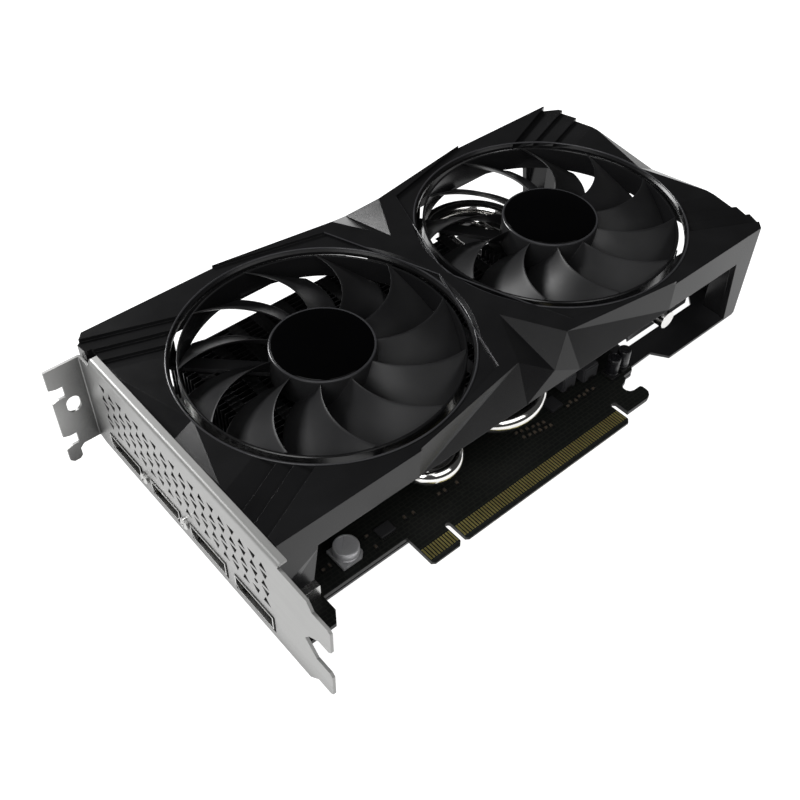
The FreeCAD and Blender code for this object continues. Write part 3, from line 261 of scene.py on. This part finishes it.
def brushed_can(name):
    """Satin aluminium that keeps a pale tone from every side."""
    paint = Paint(name)
    tones = [(0.3, (0.36, 0.36, 0.37)), (0.7, (0.42, 0.42, 0.43))]
    paint.colour(paint.ramp(paint.noise(300.0, 4.0), tones))
    paint.rough(paint.between(paint.noise(900.0, 3.0), 0.3, 0.45))
    paint.set(Metallic=0.35)


def make_materials():
    moulded("shroud_plastic", (0.0055, 0.0055, 0.0058), (0.18, 0.26), depth=0.15, index=1.30)
    moulded("fan_plastic", (0.0100, 0.0100, 0.0105), (0.34, 0.46), 7000.0, 0.25, 1.25)
    moulded("port_plastic", (0.002, 0.002, 0.002), (0.4, 0.55))
    moulded("chip_epoxy", (0.010, 0.010, 0.011), (0.45, 0.6))
    moulded("choke_grey", (0.022, 0.022, 0.024), (0.5, 0.7))
    moulded("ceramic_parts", (0.05, 0.04, 0.03), (0.3, 0.5))
    moulded("pad_rubber", (0.10, 0.11, 0.12), (0.7, 0.9))
    moulded("backplate_black", (0.005, 0.005, 0.0055), (0.35, 0.5), 3000.0, 0.5)
    moulded("magnet_rubber", (0.02, 0.02, 0.02), (0.6, 0.8))
    moulded("can_mark", (0.26, 0.26, 0.27), (0.4, 0.5))
    moulded("foot_grey", (0.20, 0.20, 0.205), (0.4, 0.55))
    moulded("cable_sleeve", (0.008, 0.008, 0.008), (0.5, 0.7))
    gloss("badge_gloss", (0.0004, 0.0004, 0.0005), 0.10, 1.18)
    gloss("silicon", (0.05, 0.055, 0.07), 0.06)
    gloss("package_laminate", (0.01, 0.04, 0.02), 0.3)
    gloss("can_sleeve", (0.006, 0.006, 0.007), 0.2)
    gloss("rim_satin", (0.025, 0.025, 0.027), 0.14, 1.38)
    gloss("liner_gloss", (0.0045, 0.0045, 0.0048), 0.16)
    metal("gold_plating", (0.82, 0.72, 0.26), (0.32, 0.48))
    metal("pipe_nickel", (0.80, 0.79, 0.77), (0.07, 0.12), (20.0, 20.0, 20.0), 0.0)
    metal("fin_aluminium", (0.16, 0.16, 0.165), (0.25, 0.42))
    metal("plate_nickel", (0.60, 0.57, 0.53), (0.25, 0.4))
    metal("screw_black", (0.05, 0.05, 0.05), (0.3, 0.45))
    metal("screw_steel", (0.55, 0.55, 0.54), (0.25, 0.4))
    metal("motor_steel", (0.40, 0.40, 0.41), (0.3, 0.45))
    metal("bearing_brass", (0.55, 0.38, 0.16), (0.3, 0.5))
    metal("copper_winding", (0.55, 0.22, 0.09), (0.3, 0.5))
    metal("dull_tin", (0.06, 0.06, 0.058), (0.35, 0.55))
    hollow_metal("port_shell", (0.55, 0.55, 0.54))
    solder_mask("board_laminate")
    plated_steel("bracket_steel")
    brushed_can("can_aluminium")


def paint_nodes():
    """Give every carried-over CAD node the material of its slot."""
    for part in frame["record"]["subparts"]:
        data = nodes[part["node"]].data
        data.materials.clear()
        data.materials.append(materials[part["material_slot"]])


make_materials()
paint_nodes()


# ------------------------------------------------------------------ mesh helpers
WELD = 0.002            # vertices closer than this become one
CREASE_DEG = 32.0       # edges that turn more than this stay sharp
NEAR_AXIS = 0.002       # a solid profile starts and ends this far from its axis
HEAD_SHARES = (0.0001, 0.10, 0.22, 0.32, 0.42, 0.50, 0.56, 0.60, 0.72, 0.84, 0.93, 0.98, 1.0)
CROSS_REACH, CROSS_ARM = 0.58, 0.28    # a screw's recess, as shares of the head's radius


def directions(count):
    """Unit directions evenly spaced round a full turn."""
    turns = [2 * math.pi * i / count for i in range(count)]
    return [(math.cos(turn), math.sin(turn)) for turn in turns]


class Shape:
    """A mesh in the making; all lengths given to its methods are card millimetres."""

    def __init__(self):
        self.mesh = bmesh.new()

    def vert(self, x, y, z):
        return self.mesh.verts.new(card(x, y, z))

    def face(self, verts):
        return self.mesh.faces.new(verts)

    def round_off(self, faces, radius, steps=2):
        edges = list({edge for face in faces for edge in face.edges})
        bmesh.ops.bevel(self.mesh, geom=edges, offset=radius * MM, segments=steps,
                        affect="EDGES", clamp_overlap=True)

    def block(self, x0, x1, y0, y1, z0, z1, bevel=0.0, steps=2):
        corners = [self.vert(x, y, z) for x in (x0, x1) for y in (y0, y1) for z in (z0, z1)]
        sides = ((0, 1, 3, 2), (4, 6, 7, 5), (0, 4, 5, 1), (2, 3, 7, 6), (0, 2, 6, 4), (1, 5, 7, 3))
        faces = [self.face([corners[i] for i in side]) for side in sides]
        if bevel:
            self.round_off(faces, bevel, steps)

    def prism(self, outline, z0, z1, bevel=0.0):
        low = [self.vert(x, y, z0) for x, y in outline]
        high = [self.vert(x, y, z1) for x, y in outline]
        faces = [self.face(low[::-1]), self.face(high)]
        for i in range(len(outline)):
            j = (i + 1) % len(outline)
            faces.append(self.face([low[i], low[j], high[j], high[i]]))
        if bevel:
            self.round_off(faces, bevel)

    def loops(self, rings, closed=False):
        """Skin a list of vertex rings; caps the ends unless the last ring meets the first."""
        count = len(rings[0])
        last = len(rings) if closed else len(rings) - 1
        for i in range(last):
            a, b = rings[i], rings[(i + 1) % len(rings)]
            for j in range(count):
                k = (j + 1) % count
                self.face([a[j], a[k], b[k], b[j]])
        if not closed:
            self.face(rings[0][::-1])
            self.face(rings[-1])

    def ring(self, x, y, profile, steps):
        """Turn a closed profile of (radius, height) about the upright line through x, y."""
        self.loops([[self.vert(x + r * c, y + r * s, z) for r, z in profile]
                    for c, s in directions(steps)], closed=True)

    def turned(self, x, y, profile, steps):
        """Turn an open profile that starts and ends near the axis."""
        self.loops([[self.vert(x + r * c, y + r * s, z) for c, s in directions(steps)]
                    for r, z in profile])

    def sweep(self, points, radius, sides):
        """Round tube along a list of card places."""
        across = Vector((0.13, 0.21, 0.97))    # along no tube's own direction
        rings = []
        for i, point in enumerate(points):
            ahead = (points[min(i + 1, len(points) - 1)] - points[max(i - 1, 0)]).normalized()
            side = ahead.cross(across).normalized()
            up = side.cross(ahead)
            rings.append([self.vert(*(point + radius * (c * side + s * up)))
                          for c, s in directions(sides)])
        self.loops(rings)

    def screw_head(self, place, axis, radius, height, steps=48):
        """Domed head with a cross recess; place is the middle of its seat."""
        side = axis.orthogonal().normalized()
        up = axis.cross(side)
        recess = 0.55 * height
        rings = []
        for share in HEAD_SHARES:
            ring = []
            for c, s in directions(steps):
                in_cross = min(abs(share * c), abs(share * s)) < 0.5 * CROSS_ARM
                lift = height * (1.0 - 0.38 * share ** 2.5)
                if in_cross and share < CROSS_REACH:
                    lift -= recess * (1.0 - 0.5 * share)
                ring.append(self.vert(*(place + radius * share * (c * side + s * up) + axis * lift)))
            rings.append(ring)
        rings.append([self.vert(*(place + radius * (c * side + s * up))) for c, s in directions(steps)])
        self.loops(rings)

    def finish(self, name, slot, body="root", instead=(), look=None, crease=CREASE_DEG):
        """Make the piece; instead names the CAD nodes it replaces, look a material unlike its slot's."""
        bmesh.ops.remove_doubles(self.mesh, verts=self.mesh.verts, dist=WELD * MM)
        bmesh.ops.recalc_face_normals(self.mesh, faces=self.mesh.faces)
        for face in self.mesh.faces:
            face.smooth = True
        for edge in self.mesh.edges:
            if len(edge.link_faces) == 2:
                edge.smooth = edge.calc_face_angle(0.0) < math.radians(crease)
        data = bpy.data.meshes.new(name)
        self.mesh.to_mesh(data)
        self.mesh.free()
        data.materials.append(materials[look or slot])
        made = bpy.data.objects.new(name, data)
        bpy.context.scene.collection.objects.link(made)
        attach(made, body)
        if instead:
            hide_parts(*instead)


def islands(node):
    """Boxes round the separate solids of a CAD node, in card millimetres."""
    data = nodes[node].data
    parent = list(range(len(data.vertices)))

    def root(i):
        while parent[i] != i:
            parent[i] = parent[parent[i]]
            i = parent[i]
        return i

    keys = {}
    for vertex in data.vertices:
        key = tuple(round(c / (0.001 * MM)) for c in vertex.co)
        if key in keys:
            parent[root(vertex.index)] = root(keys[key])
        keys[key] = vertex.index
    for edge in data.edges:
        a, b = edge.vertices
        parent[root(a)] = root(b)
    found = {}
    for vertex in data.vertices:
        place = to_card(nodes[node].matrix_world @ vertex.co)
        low, high = found.setdefault(root(vertex.index), (place.copy(), place.copy()))
        for k in range(3):
            low[k] = min(low[k], place[k])
            high[k] = max(high[k], place[k])
    return sorted(found.values(), key=lambda pair: tuple(round(c, 3) for c in pair[0]))


def plan_centres(node):
    """For each solid of a node: its centre in plan, its lowest and its highest height."""
    return [(0.5 * (low.x + high.x), 0.5 * (low.y + high.y), low.z, high.z)
            for low, high in islands(node)]


# ------------------------------------------------------------------ fans
FAN_TURN = {1: 1.5, 2: 4.0}                 # degrees to each fan's first blade
HUB_R, HUB_LOW, HUB_HIGH = 16.0, 25.0, 35.6
HUB_WALL = 1.2
HUB_DECK = HUB_HIGH - HUB_WALL              # underside of the hub's top
CAP_R, CAP_LOW, CAP_HIGH = 15.1, HUB_HIGH - 0.02, 36.0
RING_IN, RING_R, RING_LOW, RING_HIGH = 41.5, 42.4, 26.6, 34.6
BLADES, BLADE_T = 11, 1.0
BLADE_LOW, BLADE_HIGH = HUB_LOW, HUB_HIGH
BLADE_ROOT_R, BLADE_TIP_R, BLADE_SPANS = HUB_R - 0.35, RING_R - 0.6, 22
BLADE_CHORD, BLADE_SWEEP = 29.0, 22.5       # degrees
BEAD_R, MOUTH_R, MOUTH_Z = 0.34, 45.25, 34.98
# The raised plate between the fans: its two waisted edges, as (x, y) of each corner.
PLATE_EDGES = (((88.0, 101.2), (102.4, 61.35), (88.0, 20.6)),
               ((118.6, 101.2), (104.2, 61.35), (118.6, 20.6)))
PLATE_RIB_Z, PLATE_RIB_R = 35.82, 0.26


def fan_place(number):
    """Where a fan's axis stands in plan, in card millimetres."""
    low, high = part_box("fan_%d_badge" % number)
    place = to_card(0.5 * (low + high))
    return place.x, place.y


def blade_loop(shape, x, y, radius, turn, points=15):
    """One closed section of a blade at a given radius."""
    share = max((radius - HUB_R) / (RING_R - HUB_R), 0.0)
    lead = turn + BLADE_SWEEP * share ** 1.6
    height = BLADE_HIGH - BLADE_LOW - BLADE_T
    upper, under = [], []
    for i in range(points):
        u = 0.5 - 0.5 * math.cos(math.pi * i / (points - 1))
        angle = math.radians(lead - BLADE_CHORD * (1.0 - u))
        z = BLADE_LOW + 0.5 * BLADE_T + height * u ** 1.45
        half = 0.5 * BLADE_T * max(4.0 * u * (1.0 - u), 0.0) ** 0.4 + 0.04
        px, py = x + radius * math.cos(angle), y + radius * math.sin(angle)
        upper.append((px, py, z + half))
        under.append((px, py, z - half))
    return [shape.vert(*p) for p in upper + under[::-1]]


def make_wheel(number):
    """Hub and blades of one fan."""
    x, y = fan_place(number)
    wheel = Shape()
    bore, boss_r, boss_low, deck_r, open_r = 1.5, 3.0, HUB_DECK - 1.4, 14.0, 13.0
    inner = HUB_R - HUB_WALL
    wheel.ring(x, y, [(inner, HUB_LOW), (HUB_R - 0.25, HUB_LOW), (HUB_R, HUB_LOW + 0.25),
                      (HUB_R, HUB_HIGH - 0.5), (HUB_R - 0.1, HUB_HIGH - 0.2),
                      (HUB_R - 0.4, HUB_HIGH), (open_r, HUB_HIGH), (open_r, HUB_DECK),
                      (inner, HUB_DECK)], 160)
    wheel.ring(x, y, [(bore, boss_low), (boss_r, boss_low), (boss_r, HUB_DECK), (deck_r, HUB_DECK),
                      (deck_r, CAP_LOW), (bore, CAP_LOW)], 144)
    step = (BLADE_TIP_R - BLADE_ROOT_R) / BLADE_SPANS
    radii = [BLADE_ROOT_R + step * i for i in range(BLADE_SPANS + 1)]
    for index in range(BLADES):
        turn = FAN_TURN[number] + index * 360.0 / BLADES
        wheel.loops([blade_loop(wheel, x, y, radius, turn) for radius in radii])
    wheel.finish("fan_%d_wheel" % number, "fan_plastic", "fan_%d" % number,
                 ["fan_%d_rotor" % number], crease=50.0)


def make_rings(number):
    """The band round the blades' tips, and the hub's rim and glossy cap."""
    x, y = fan_place(number)
    body = "fan_%d" % number
    band = Shape()
    band.ring(x, y, [(RING_IN, RING_LOW), (RING_R - 0.25, RING_LOW), (RING_R, RING_LOW + 0.25),
                     (RING_R, RING_HIGH - 0.3), (RING_R - 0.2, RING_HIGH - 0.05),
                     (RING_R - 0.45, RING_HIGH), (RING_IN + 0.15, RING_HIGH - 0.05),
                     (RING_IN, RING_HIGH - 0.3)], 216)
    band.finish("fan_%d_band" % number, "fan_plastic", body, look="liner_gloss")
    rim = Shape()
    rim.ring(x, y, [(HUB_R - 0.8, HUB_HIGH - 0.05), (HUB_R - 0.1, HUB_HIGH - 0.2),
                    (HUB_R - 0.08, HUB_HIGH), (HUB_R - 0.25, HUB_HIGH + 0.15),
                    (HUB_R - 0.5, HUB_HIGH + 0.2), (HUB_R - 0.72, HUB_HIGH + 0.14)], 160)
    rim.finish("fan_%d_hub_rim" % number, "fan_plastic", body, look="rim_satin")
    cap = Shape()
    cap.turned(x, y, [(NEAR_AXIS, CAP_LOW), (CAP_R - 0.15, CAP_LOW), (CAP_R, CAP_LOW + 0.1),
                      (CAP_R, CAP_HIGH - 0.14), (CAP_R - 0.1, CAP_HIGH - 0.04),
                      (CAP_R - 0.3, CAP_HIGH), (8.0, CAP_HIGH), (NEAR_AXIS, CAP_HIGH)], 128)
    cap.finish("fan_%d_cap" % number, "badge_gloss", body, ["fan_%d_badge" % number])


def make_fan_lip(number):
    """Polished bead round the mouth of the opening."""
    x, y = fan_place(number)
    bead = Shape()
    bead.ring(x, y, [(MOUTH_R + BEAD_R * c, MOUTH_Z + BEAD_R * s) for c, s in directions(12)], 216)
    bead.finish("fan_%d_bead" % number, "shroud_plastic", look="rim_satin")


def make_plate_ribs():
    """Thin polished ribs along the two waisted edges of the raised plate."""
    ribs = Shape()
    for edge in PLATE_EDGES:
        ribs.sweep([Vector((x, y, PLATE_RIB_Z)) for x, y in edge], PLATE_RIB_R, 12)
    ribs.finish("plate_ribs", "shroud_plastic", look="rim_satin")


# ------------------------------------------------------------------ board details
def make_small_parts():
    """Chip resistors and capacitors: a body set in a little from its two metal ends."""
    bodies, ends = Shape(), Shape()
    cap, inset = 0.28, 0.03
    for (x0, y0, z0), (x1, y1, z1) in islands("small_parts"):
        if x1 - x0 > y1 - y0:
            core = (x0 + cap, x1 - cap, y0 + inset, y1 - inset)
            spans = [(x0, x0 + cap, y0, y1), (x1 - cap, x1, y0, y1)]
        else:
            core = (x0 + inset, x1 - inset, y0 + cap, y1 - cap)
            spans = [(x0, x1, y0, y0 + cap), (x0, x1, y1 - cap, y1)]
        bodies.block(*core, z0 + 0.02, z1 - 0.04, 0.05)
        for span in spans:
            ends.block(*span, z0, z1, 0.08)
    bodies.finish("small_part_bodies", "ceramic_parts", instead=["small_parts"])
    ends.finish("small_part_ends", "port_shell", look="dull_tin")


def make_chips():
    """Epoxy bodies with a raised pin-one mark, and bent legs along two sides."""
    bodies, legs = Shape(), Shape()
    inset, first, pitch, half, beyond = 0.35, 0.6, 0.65, 0.13, 0.15
    # Each leg's shoulder, foot and riser: from and to, inwards from its tip, then low and high.
    bends = ((0.25, 0.35, 0.32, 0.46), (0.0, 0.35, 0.02, 0.14), (0.29, 0.43, 0.02, 0.46))
    for (x0, y0, z0), (x1, y1, z1) in islands("controller_chips"):
        bodies.block(x0 + inset, x1 - inset, y0 + inset, y1 - inset, z0 + 0.1, z1, 0.12)
        mark = [(NEAR_AXIS, z1 - 0.02), (0.28, z1 - 0.02), (0.28, z1 + 0.02), (0.22, z1 + 0.02),
                (0.2, z1 - 0.01), (NEAR_AXIS, z1 - 0.01)]
        bodies.turned(x0 + 1.0, y0 + 1.0, mark, 20)
        for i in range(int((x1 - x0 - 2 * first) / pitch) + 1):
            x = x0 + first + pitch * i
            for tip, way in ((y0 - beyond, 1), (y1 + beyond, -1)):
                for start, stop, low, high in bends:
                    near, far = sorted((tip + way * start, tip + way * stop))
                    legs.block(x - half, x + half, near, far, z0 + low, z0 + high)
    bodies.finish("chip_bodies", "chip_epoxy", instead=["controller_chips"])
    legs.finish("chip_legs", "port_shell", look="dull_tin")


def make_chokes():
    """Pressed blocks with a solder clip at each of two sides."""
    bodies, clips = Shape(), Shape()
    half, height, inside, outside = 1.3, 1.9, 0.2, 0.08
    for (x0, y0, z0), (x1, y1, z1) in islands("inductors"):
        bodies.block(x0, x1, y0, y1, z0 + 0.15, z1, 0.45, 3)
        x = 0.5 * (x0 + x1)
        for near, far in ((y0 - outside, y0 + inside), (y1 - inside, y1 + outside)):
            clips.block(x - half, x + half, near, far, z0, z0 + height, 0.06)
    bodies.finish("choke_bodies", "choke_grey", instead=["inductors"])
    clips.finish("choke_clips", "port_shell", look="dull_tin")


def can_profile(r, z0, z1):
    """A crimped can: a groove near its foot and a shallow step round its top."""
    return [(NEAR_AXIS, z0), (0.93 * r, z0), (0.97 * r, z0 + 0.2), (0.97 * r, z0 + 0.5),
            (0.90 * r, z0 + 0.75), (0.97 * r, z0 + 1.0), (r, z0 + 1.2), (r, z1 - 0.5),
            (0.975 * r, z1 - 0.22), (0.92 * r, z1 - 0.06), (0.86 * r, z1), (0.82 * r, z1),
            (0.80 * r, z1 - 0.06), (NEAR_AXIS, z1 - 0.06)]


def make_cans():
    """Capacitor cans: bare ones with a polarity mark, taller sleeved ones without."""
    cans, tall, marks = Shape(), Shape(), Shape()
    tall_above = 7.0
    mark_turns = [math.radians(60 + 150 * i / 24) for i in range(25)]
    for low, high in islands("capacitor_cans"):
        x, y = 0.5 * (low.x + high.x), 0.5 * (low.y + high.y)
        r = 0.5 * (high.x - low.x)
        is_tall = high.z > tall_above
        (tall if is_tall else cans).turned(x, y, can_profile(r, low.z, high.z), 64)
        if not is_tall:
            arc = [(x + 0.79 * r * math.cos(t), y + 0.79 * r * math.sin(t)) for t in mark_turns]
            marks.prism(arc, high.z - 0.06, high.z - 0.03)
    cans.finish("can_bodies", "can_aluminium", instead=["capacitor_cans"])
    tall.finish("tall_can_bodies", "can_aluminium", look="can_sleeve")
    marks.finish("can_marks", "can_aluminium", look="can_mark")


def make_can_feet():
    """Square feet with two cut corners: grey by the bracket, black at the tail."""
    feet, tail_feet = Shape(), Shape()
    tail_beyond = 100.0
    for (x0, y0, z0), (x1, y1, z1) in islands("capacitor_feet"):
        cut = 0.2 * (x1 - x0)
        outline = [(x0, y0), (x1 - cut, y0), (x1, y0 + cut), (x1, y1 - cut), (x1 - cut, y1), (x0, y1)]
        (tail_feet if x0 > tail_beyond else feet).prism(outline, z0, z1, 0.15)
    feet.finish("can_feet", "choke_grey", look="foot_grey", instead=["capacitor_feet"])
    tail_feet.finish("tail_can_feet", "choke_grey", look="port_plastic")


def make_port_contacts():
    """Spring contacts along both faces of every socket's tongue."""
    contacts = Shape()
    pitch, half, height = 1.0, 0.22, 0.14
    for node in ("dp_insert_1", "dp_insert_2", "dp_insert_3", "hdmi_insert"):
        low, high = card_box(node)
        count = int((high.y - low.y - 0.8) / pitch) + 1
        first = 0.5 * (low.y + high.y) - 0.5 * (count - 1) * pitch
        for i in range(count):
            y = first + i * pitch
            for z0, z1 in ((high.z, high.z + height), (low.z - height, low.z)):
                contacts.block(low.x + 0.3, high.x - 1.0, y - half, y + half, z0, z1, 0.04)
    contacts.finish("port_contacts", "gold_plating")


# ------------------------------------------------------------------ screws and springs
def make_bracket_screws():
    screws = Shape()
    for low, high in islands("bracket_screws"):
        y, z = 0.5 * (low.y + high.y), 0.5 * (low.z + high.z)
        screws.screw_head(Vector((0.02, y, z)), Vector((-1, 0, 0)), 1.9, 1.55)
        screws.sweep([Vector((x, y, z)) for x in (0.0, 1.6, 3.2)], 0.9, 20)
    screws.finish("bracket_screw_heads", "screw_steel", instead=["bracket_screws"])


def make_backplate_screws():
    screws = Shape()
    for x, y, _, top in plan_centres("backplate_screws"):
        screws.screw_head(Vector((x, y, -3.18)), Vector((0, 0, -1)), 2.3, 0.88)
        screws.sweep([Vector((x, y, z)) for z in (-3.2, -1.0, top)], 1.2, 20)
    screws.finish("backplate_screw_heads", "screw_black", instead=["backplate_screws"])


def make_spring_screws():
    screws = Shape()
    for x, y, foot, _ in plan_centres("spring_screws"):
        screws.screw_head(Vector((x, y, 6.4)), Vector((0, 0, 1)), 2.9, 1.4)
        screws.sweep([Vector((x, y, z)) for z in (foot, 3.0, 6.4)], 1.2, 20)
    screws.finish("spring_screw_heads", "screw_steel", instead=["spring_screws"])


def make_springs():
    """Coil springs under the spring screws' heads."""
    coils = Shape()
    turns, steps, coil_r, wire_r, end_gap = 4.5, 90, 2.05, 0.19, 0.2
    for x, y, foot, top in plan_centres("screw_springs"):
        points = []
        for i in range(steps + 1):
            share = i / steps
            turn = 2 * math.pi * turns * share
            points.append(Vector((x + coil_r * math.cos(turn), y + coil_r * math.sin(turn),
                                  foot + end_gap + (top - foot - 2 * end_gap) * share)))
        coils.sweep(points, wire_r, 8)
    coils.finish("screw_coils", "screw_steel", instead=["screw_springs"])


# ------------------------------------------------------------------ heat sink and back
FIN_PITCH = 2.0
TAB_LENGTH, TAB_STEP, TAB_WIDTH, TAB_T = 4.0, 9.0, 1.55, 0.22
SPRING_WELLS = ((66, 32), (66, 80), (114, 32), (114, 80))
WELL_CLEAR = 7.0
TAIL_BAY = (95.0, 87.0)     # past this corner the main fins are cut away
PLATE_OUT = -3.2            # outside of the backplate
PANEL_OUT = PLATE_OUT - 0.42


def make_fin_folds():
    """Stamped tabs along the fins' upper edges and the turned-in foot of the tail fins."""
    tabs = Shape()
    for node, start, has_bay in (("main_fins", 26.5, True), ("tail_fins", 137.0, False)):
        low, high = card_box(node)
        for row in range(int((high.y - low.y) / FIN_PITCH + 0.5)):
            y = low.y + FIN_PITCH * row + 0.4
            x = start
            while x + TAB_LENGTH < high.x:
                in_bay = has_bay and x + TAB_LENGTH > TAIL_BAY[0] and y > TAIL_BAY[1]
                middle = Vector((x + 0.5 * TAB_LENGTH, y))
                in_well = min((middle - Vector(well)).length for well in SPRING_WELLS) < WELL_CLEAR
                if not in_bay and not in_well:
                    tabs.block(x, x + TAB_LENGTH, y, y + TAB_WIDTH, high.z - TAB_T, high.z)
                x += TAB_STEP
    low, high = card_box("tail_fins")
    y = low.y + 0.4
    while y < high.y - 1.0:
        tabs.block(154.2, high.x, y, y + 1.2, low.z, low.z + 0.25)
        y += FIN_PITCH
    tabs.finish("fin_tabs", "fin_aluminium")


def make_back_panels():
    """Raised chevrons, slanted bars and border ribs on the outside of the backplate."""
    outlines = []
    for shift in (0.0, 17.0, 34.0):
        outlines.append([(30 + shift, 24), (38 + shift, 24), (56 + shift, 60), (38 + shift, 96),
                         (30 + shift, 96), (48 + shift, 60)])
    outlines.append([(108, 24), (146, 24), (146, 28), (110, 28)])
    outlines.append([(110, 92), (146, 92), (146, 96), (108, 96)])
    for i in range(6):
        y = 36 + 9.0 * i
        outlines.append([(112, y), (144, y), (146, y + 2.4), (114, y + 2.4)])
    outlines.append([(8, 16), (140, 16), (140, 17.2), (8, 17.2)])
    outlines.append([(8, 102.0), (152, 102.0), (152, 103.2), (8, 103.2)])
    panels = Shape()
    for outline in outlines:
        panels.prism(outline, PANEL_OUT, PLATE_OUT, 0.14)
    panels.finish("backplate_panels", "backplate_black")


def round_edges(node, width, limit_deg):
    """Real rounding on a CAD node's sharp edges, as a modifier."""
    rounding = nodes[node].modifiers.new("rounding", "BEVEL")
    rounding.width = width * MM
    rounding.segments = 2
    rounding.limit_method = "ANGLE"
    rounding.angle_limit = math.radians(limit_deg)
    rounding.use_clamp_overlap = True


for fan in FAN_TURN:
    make_wheel(fan)
    make_rings(fan)
    make_fan_lip(fan)
make_plate_ribs()
make_small_parts()
make_chips()
make_chokes()
make_cans()
make_can_feet()
make_port_contacts()
make_bracket_screws()
make_backplate_screws()
make_spring_screws()
make_springs()
make_fin_folds()
make_back_panels()
round_edges("shroud", 0.22, 12)
round_edges("backplate", 0.2, 30)


# ------------------------------------------------------------------ stage
def make_floor():
    """White paper that glows a little, so that it stays even behind the card."""
    bpy.ops.mesh.primitive_plane_add(size=6.0, location=(0, 0, 0))
    floor = bpy.context.object
    floor.name = "floor"
    paint = Paint("floor_paper")
    tones = [(0.2, (0.30, 0.30, 0.30)), (0.8, (0.32, 0.32, 0.32))]
    paint.colour(paint.ramp(paint.noise(3.0, 2.0), tones))
    paint.set(Roughness=0.9, Emission_Strength=0.98, Emission_Color=(1.0, 1.0, 1.0, 1.0))
    floor.data.materials.append(paint.material)


def area_light(name, place, size, power):
    """A rectangular lamp that looks at the middle of the floor."""
    data = bpy.data.lights.new(name, "AREA")
    data.shape = "RECTANGLE"
    data.size, data.size_y = size
    data.energy = power
    lamp = bpy.data.objects.new(name, data)
    bpy.context.scene.collection.objects.link(lamp)
    lamp.location = place
    lamp.rotation_euler = (-Vector(place)).to_track_quat("-Z", "Y").to_euler()


def make_lights():
    world = bpy.data.worlds.new("studio")
    bpy.context.scene.world = world
    world.use_nodes = True
    background = world.node_tree.nodes["Background"]
    background.inputs["Color"].default_value = (1, 1, 1, 1)
    background.inputs["Strength"].default_value = 0.05
    area_light("key", (-0.95, -0.35, 0.75), (0.8, 0.6), 9.5)
    area_light("front", (0.1, -1.0, 0.9), (1.0, 0.6), 4.2)
    area_light("top", (-0.35, -0.3, 1.4), (0.9, 0.9), 4.0)
    area_light("back", (-0.18, 0.96, 0.70), (0.42, 0.34), 15.0)


# Camera: where it stands from the middle of the card, which way it looks, and how it is framed.
CAMERA_FROM_MIDDLE = Vector((-0.16868, -0.16509, 0.22865))
CAMERA_AZIMUTH = math.radians(-40.485)
CAMERA_ELEVATION = math.radians(45.872)
CAMERA_ROLL = math.radians(-0.351)
CAMERA_LENS_MM = 46.41
CAMERA_SHIFT = (0.0212, -0.0177)


def make_camera():
    back = Vector((math.sin(CAMERA_AZIMUTH) * math.cos(CAMERA_ELEVATION),
                   -math.cos(CAMERA_AZIMUTH) * math.cos(CAMERA_ELEVATION),
                   math.sin(CAMERA_ELEVATION)))
    level = Vector((0, 0, 1)).cross(back).normalized()
    upright = back.cross(level)
    right = math.cos(CAMERA_ROLL) * level - math.sin(CAMERA_ROLL) * upright
    up = math.sin(CAMERA_ROLL) * level + math.cos(CAMERA_ROLL) * upright
    data = bpy.data.cameras.new("camera")
    data.lens = CAMERA_LENS_MM
    data.sensor_width = 36.0
    data.shift_x, data.shift_y = CAMERA_SHIFT
    camera = bpy.data.objects.new("camera", data)
    bpy.context.scene.collection.objects.link(camera)
    turn = Matrix((right, up, back)).transposed().to_4x4()
    camera.matrix_world = Matrix.Translation(CARD_MIDDLE + CAMERA_FROM_MIDDLE) @ turn
    bpy.context.scene.camera = camera


make_floor()
make_lights()
make_camera()
bpy.context.scene.view_settings.view_transform = "Standard"
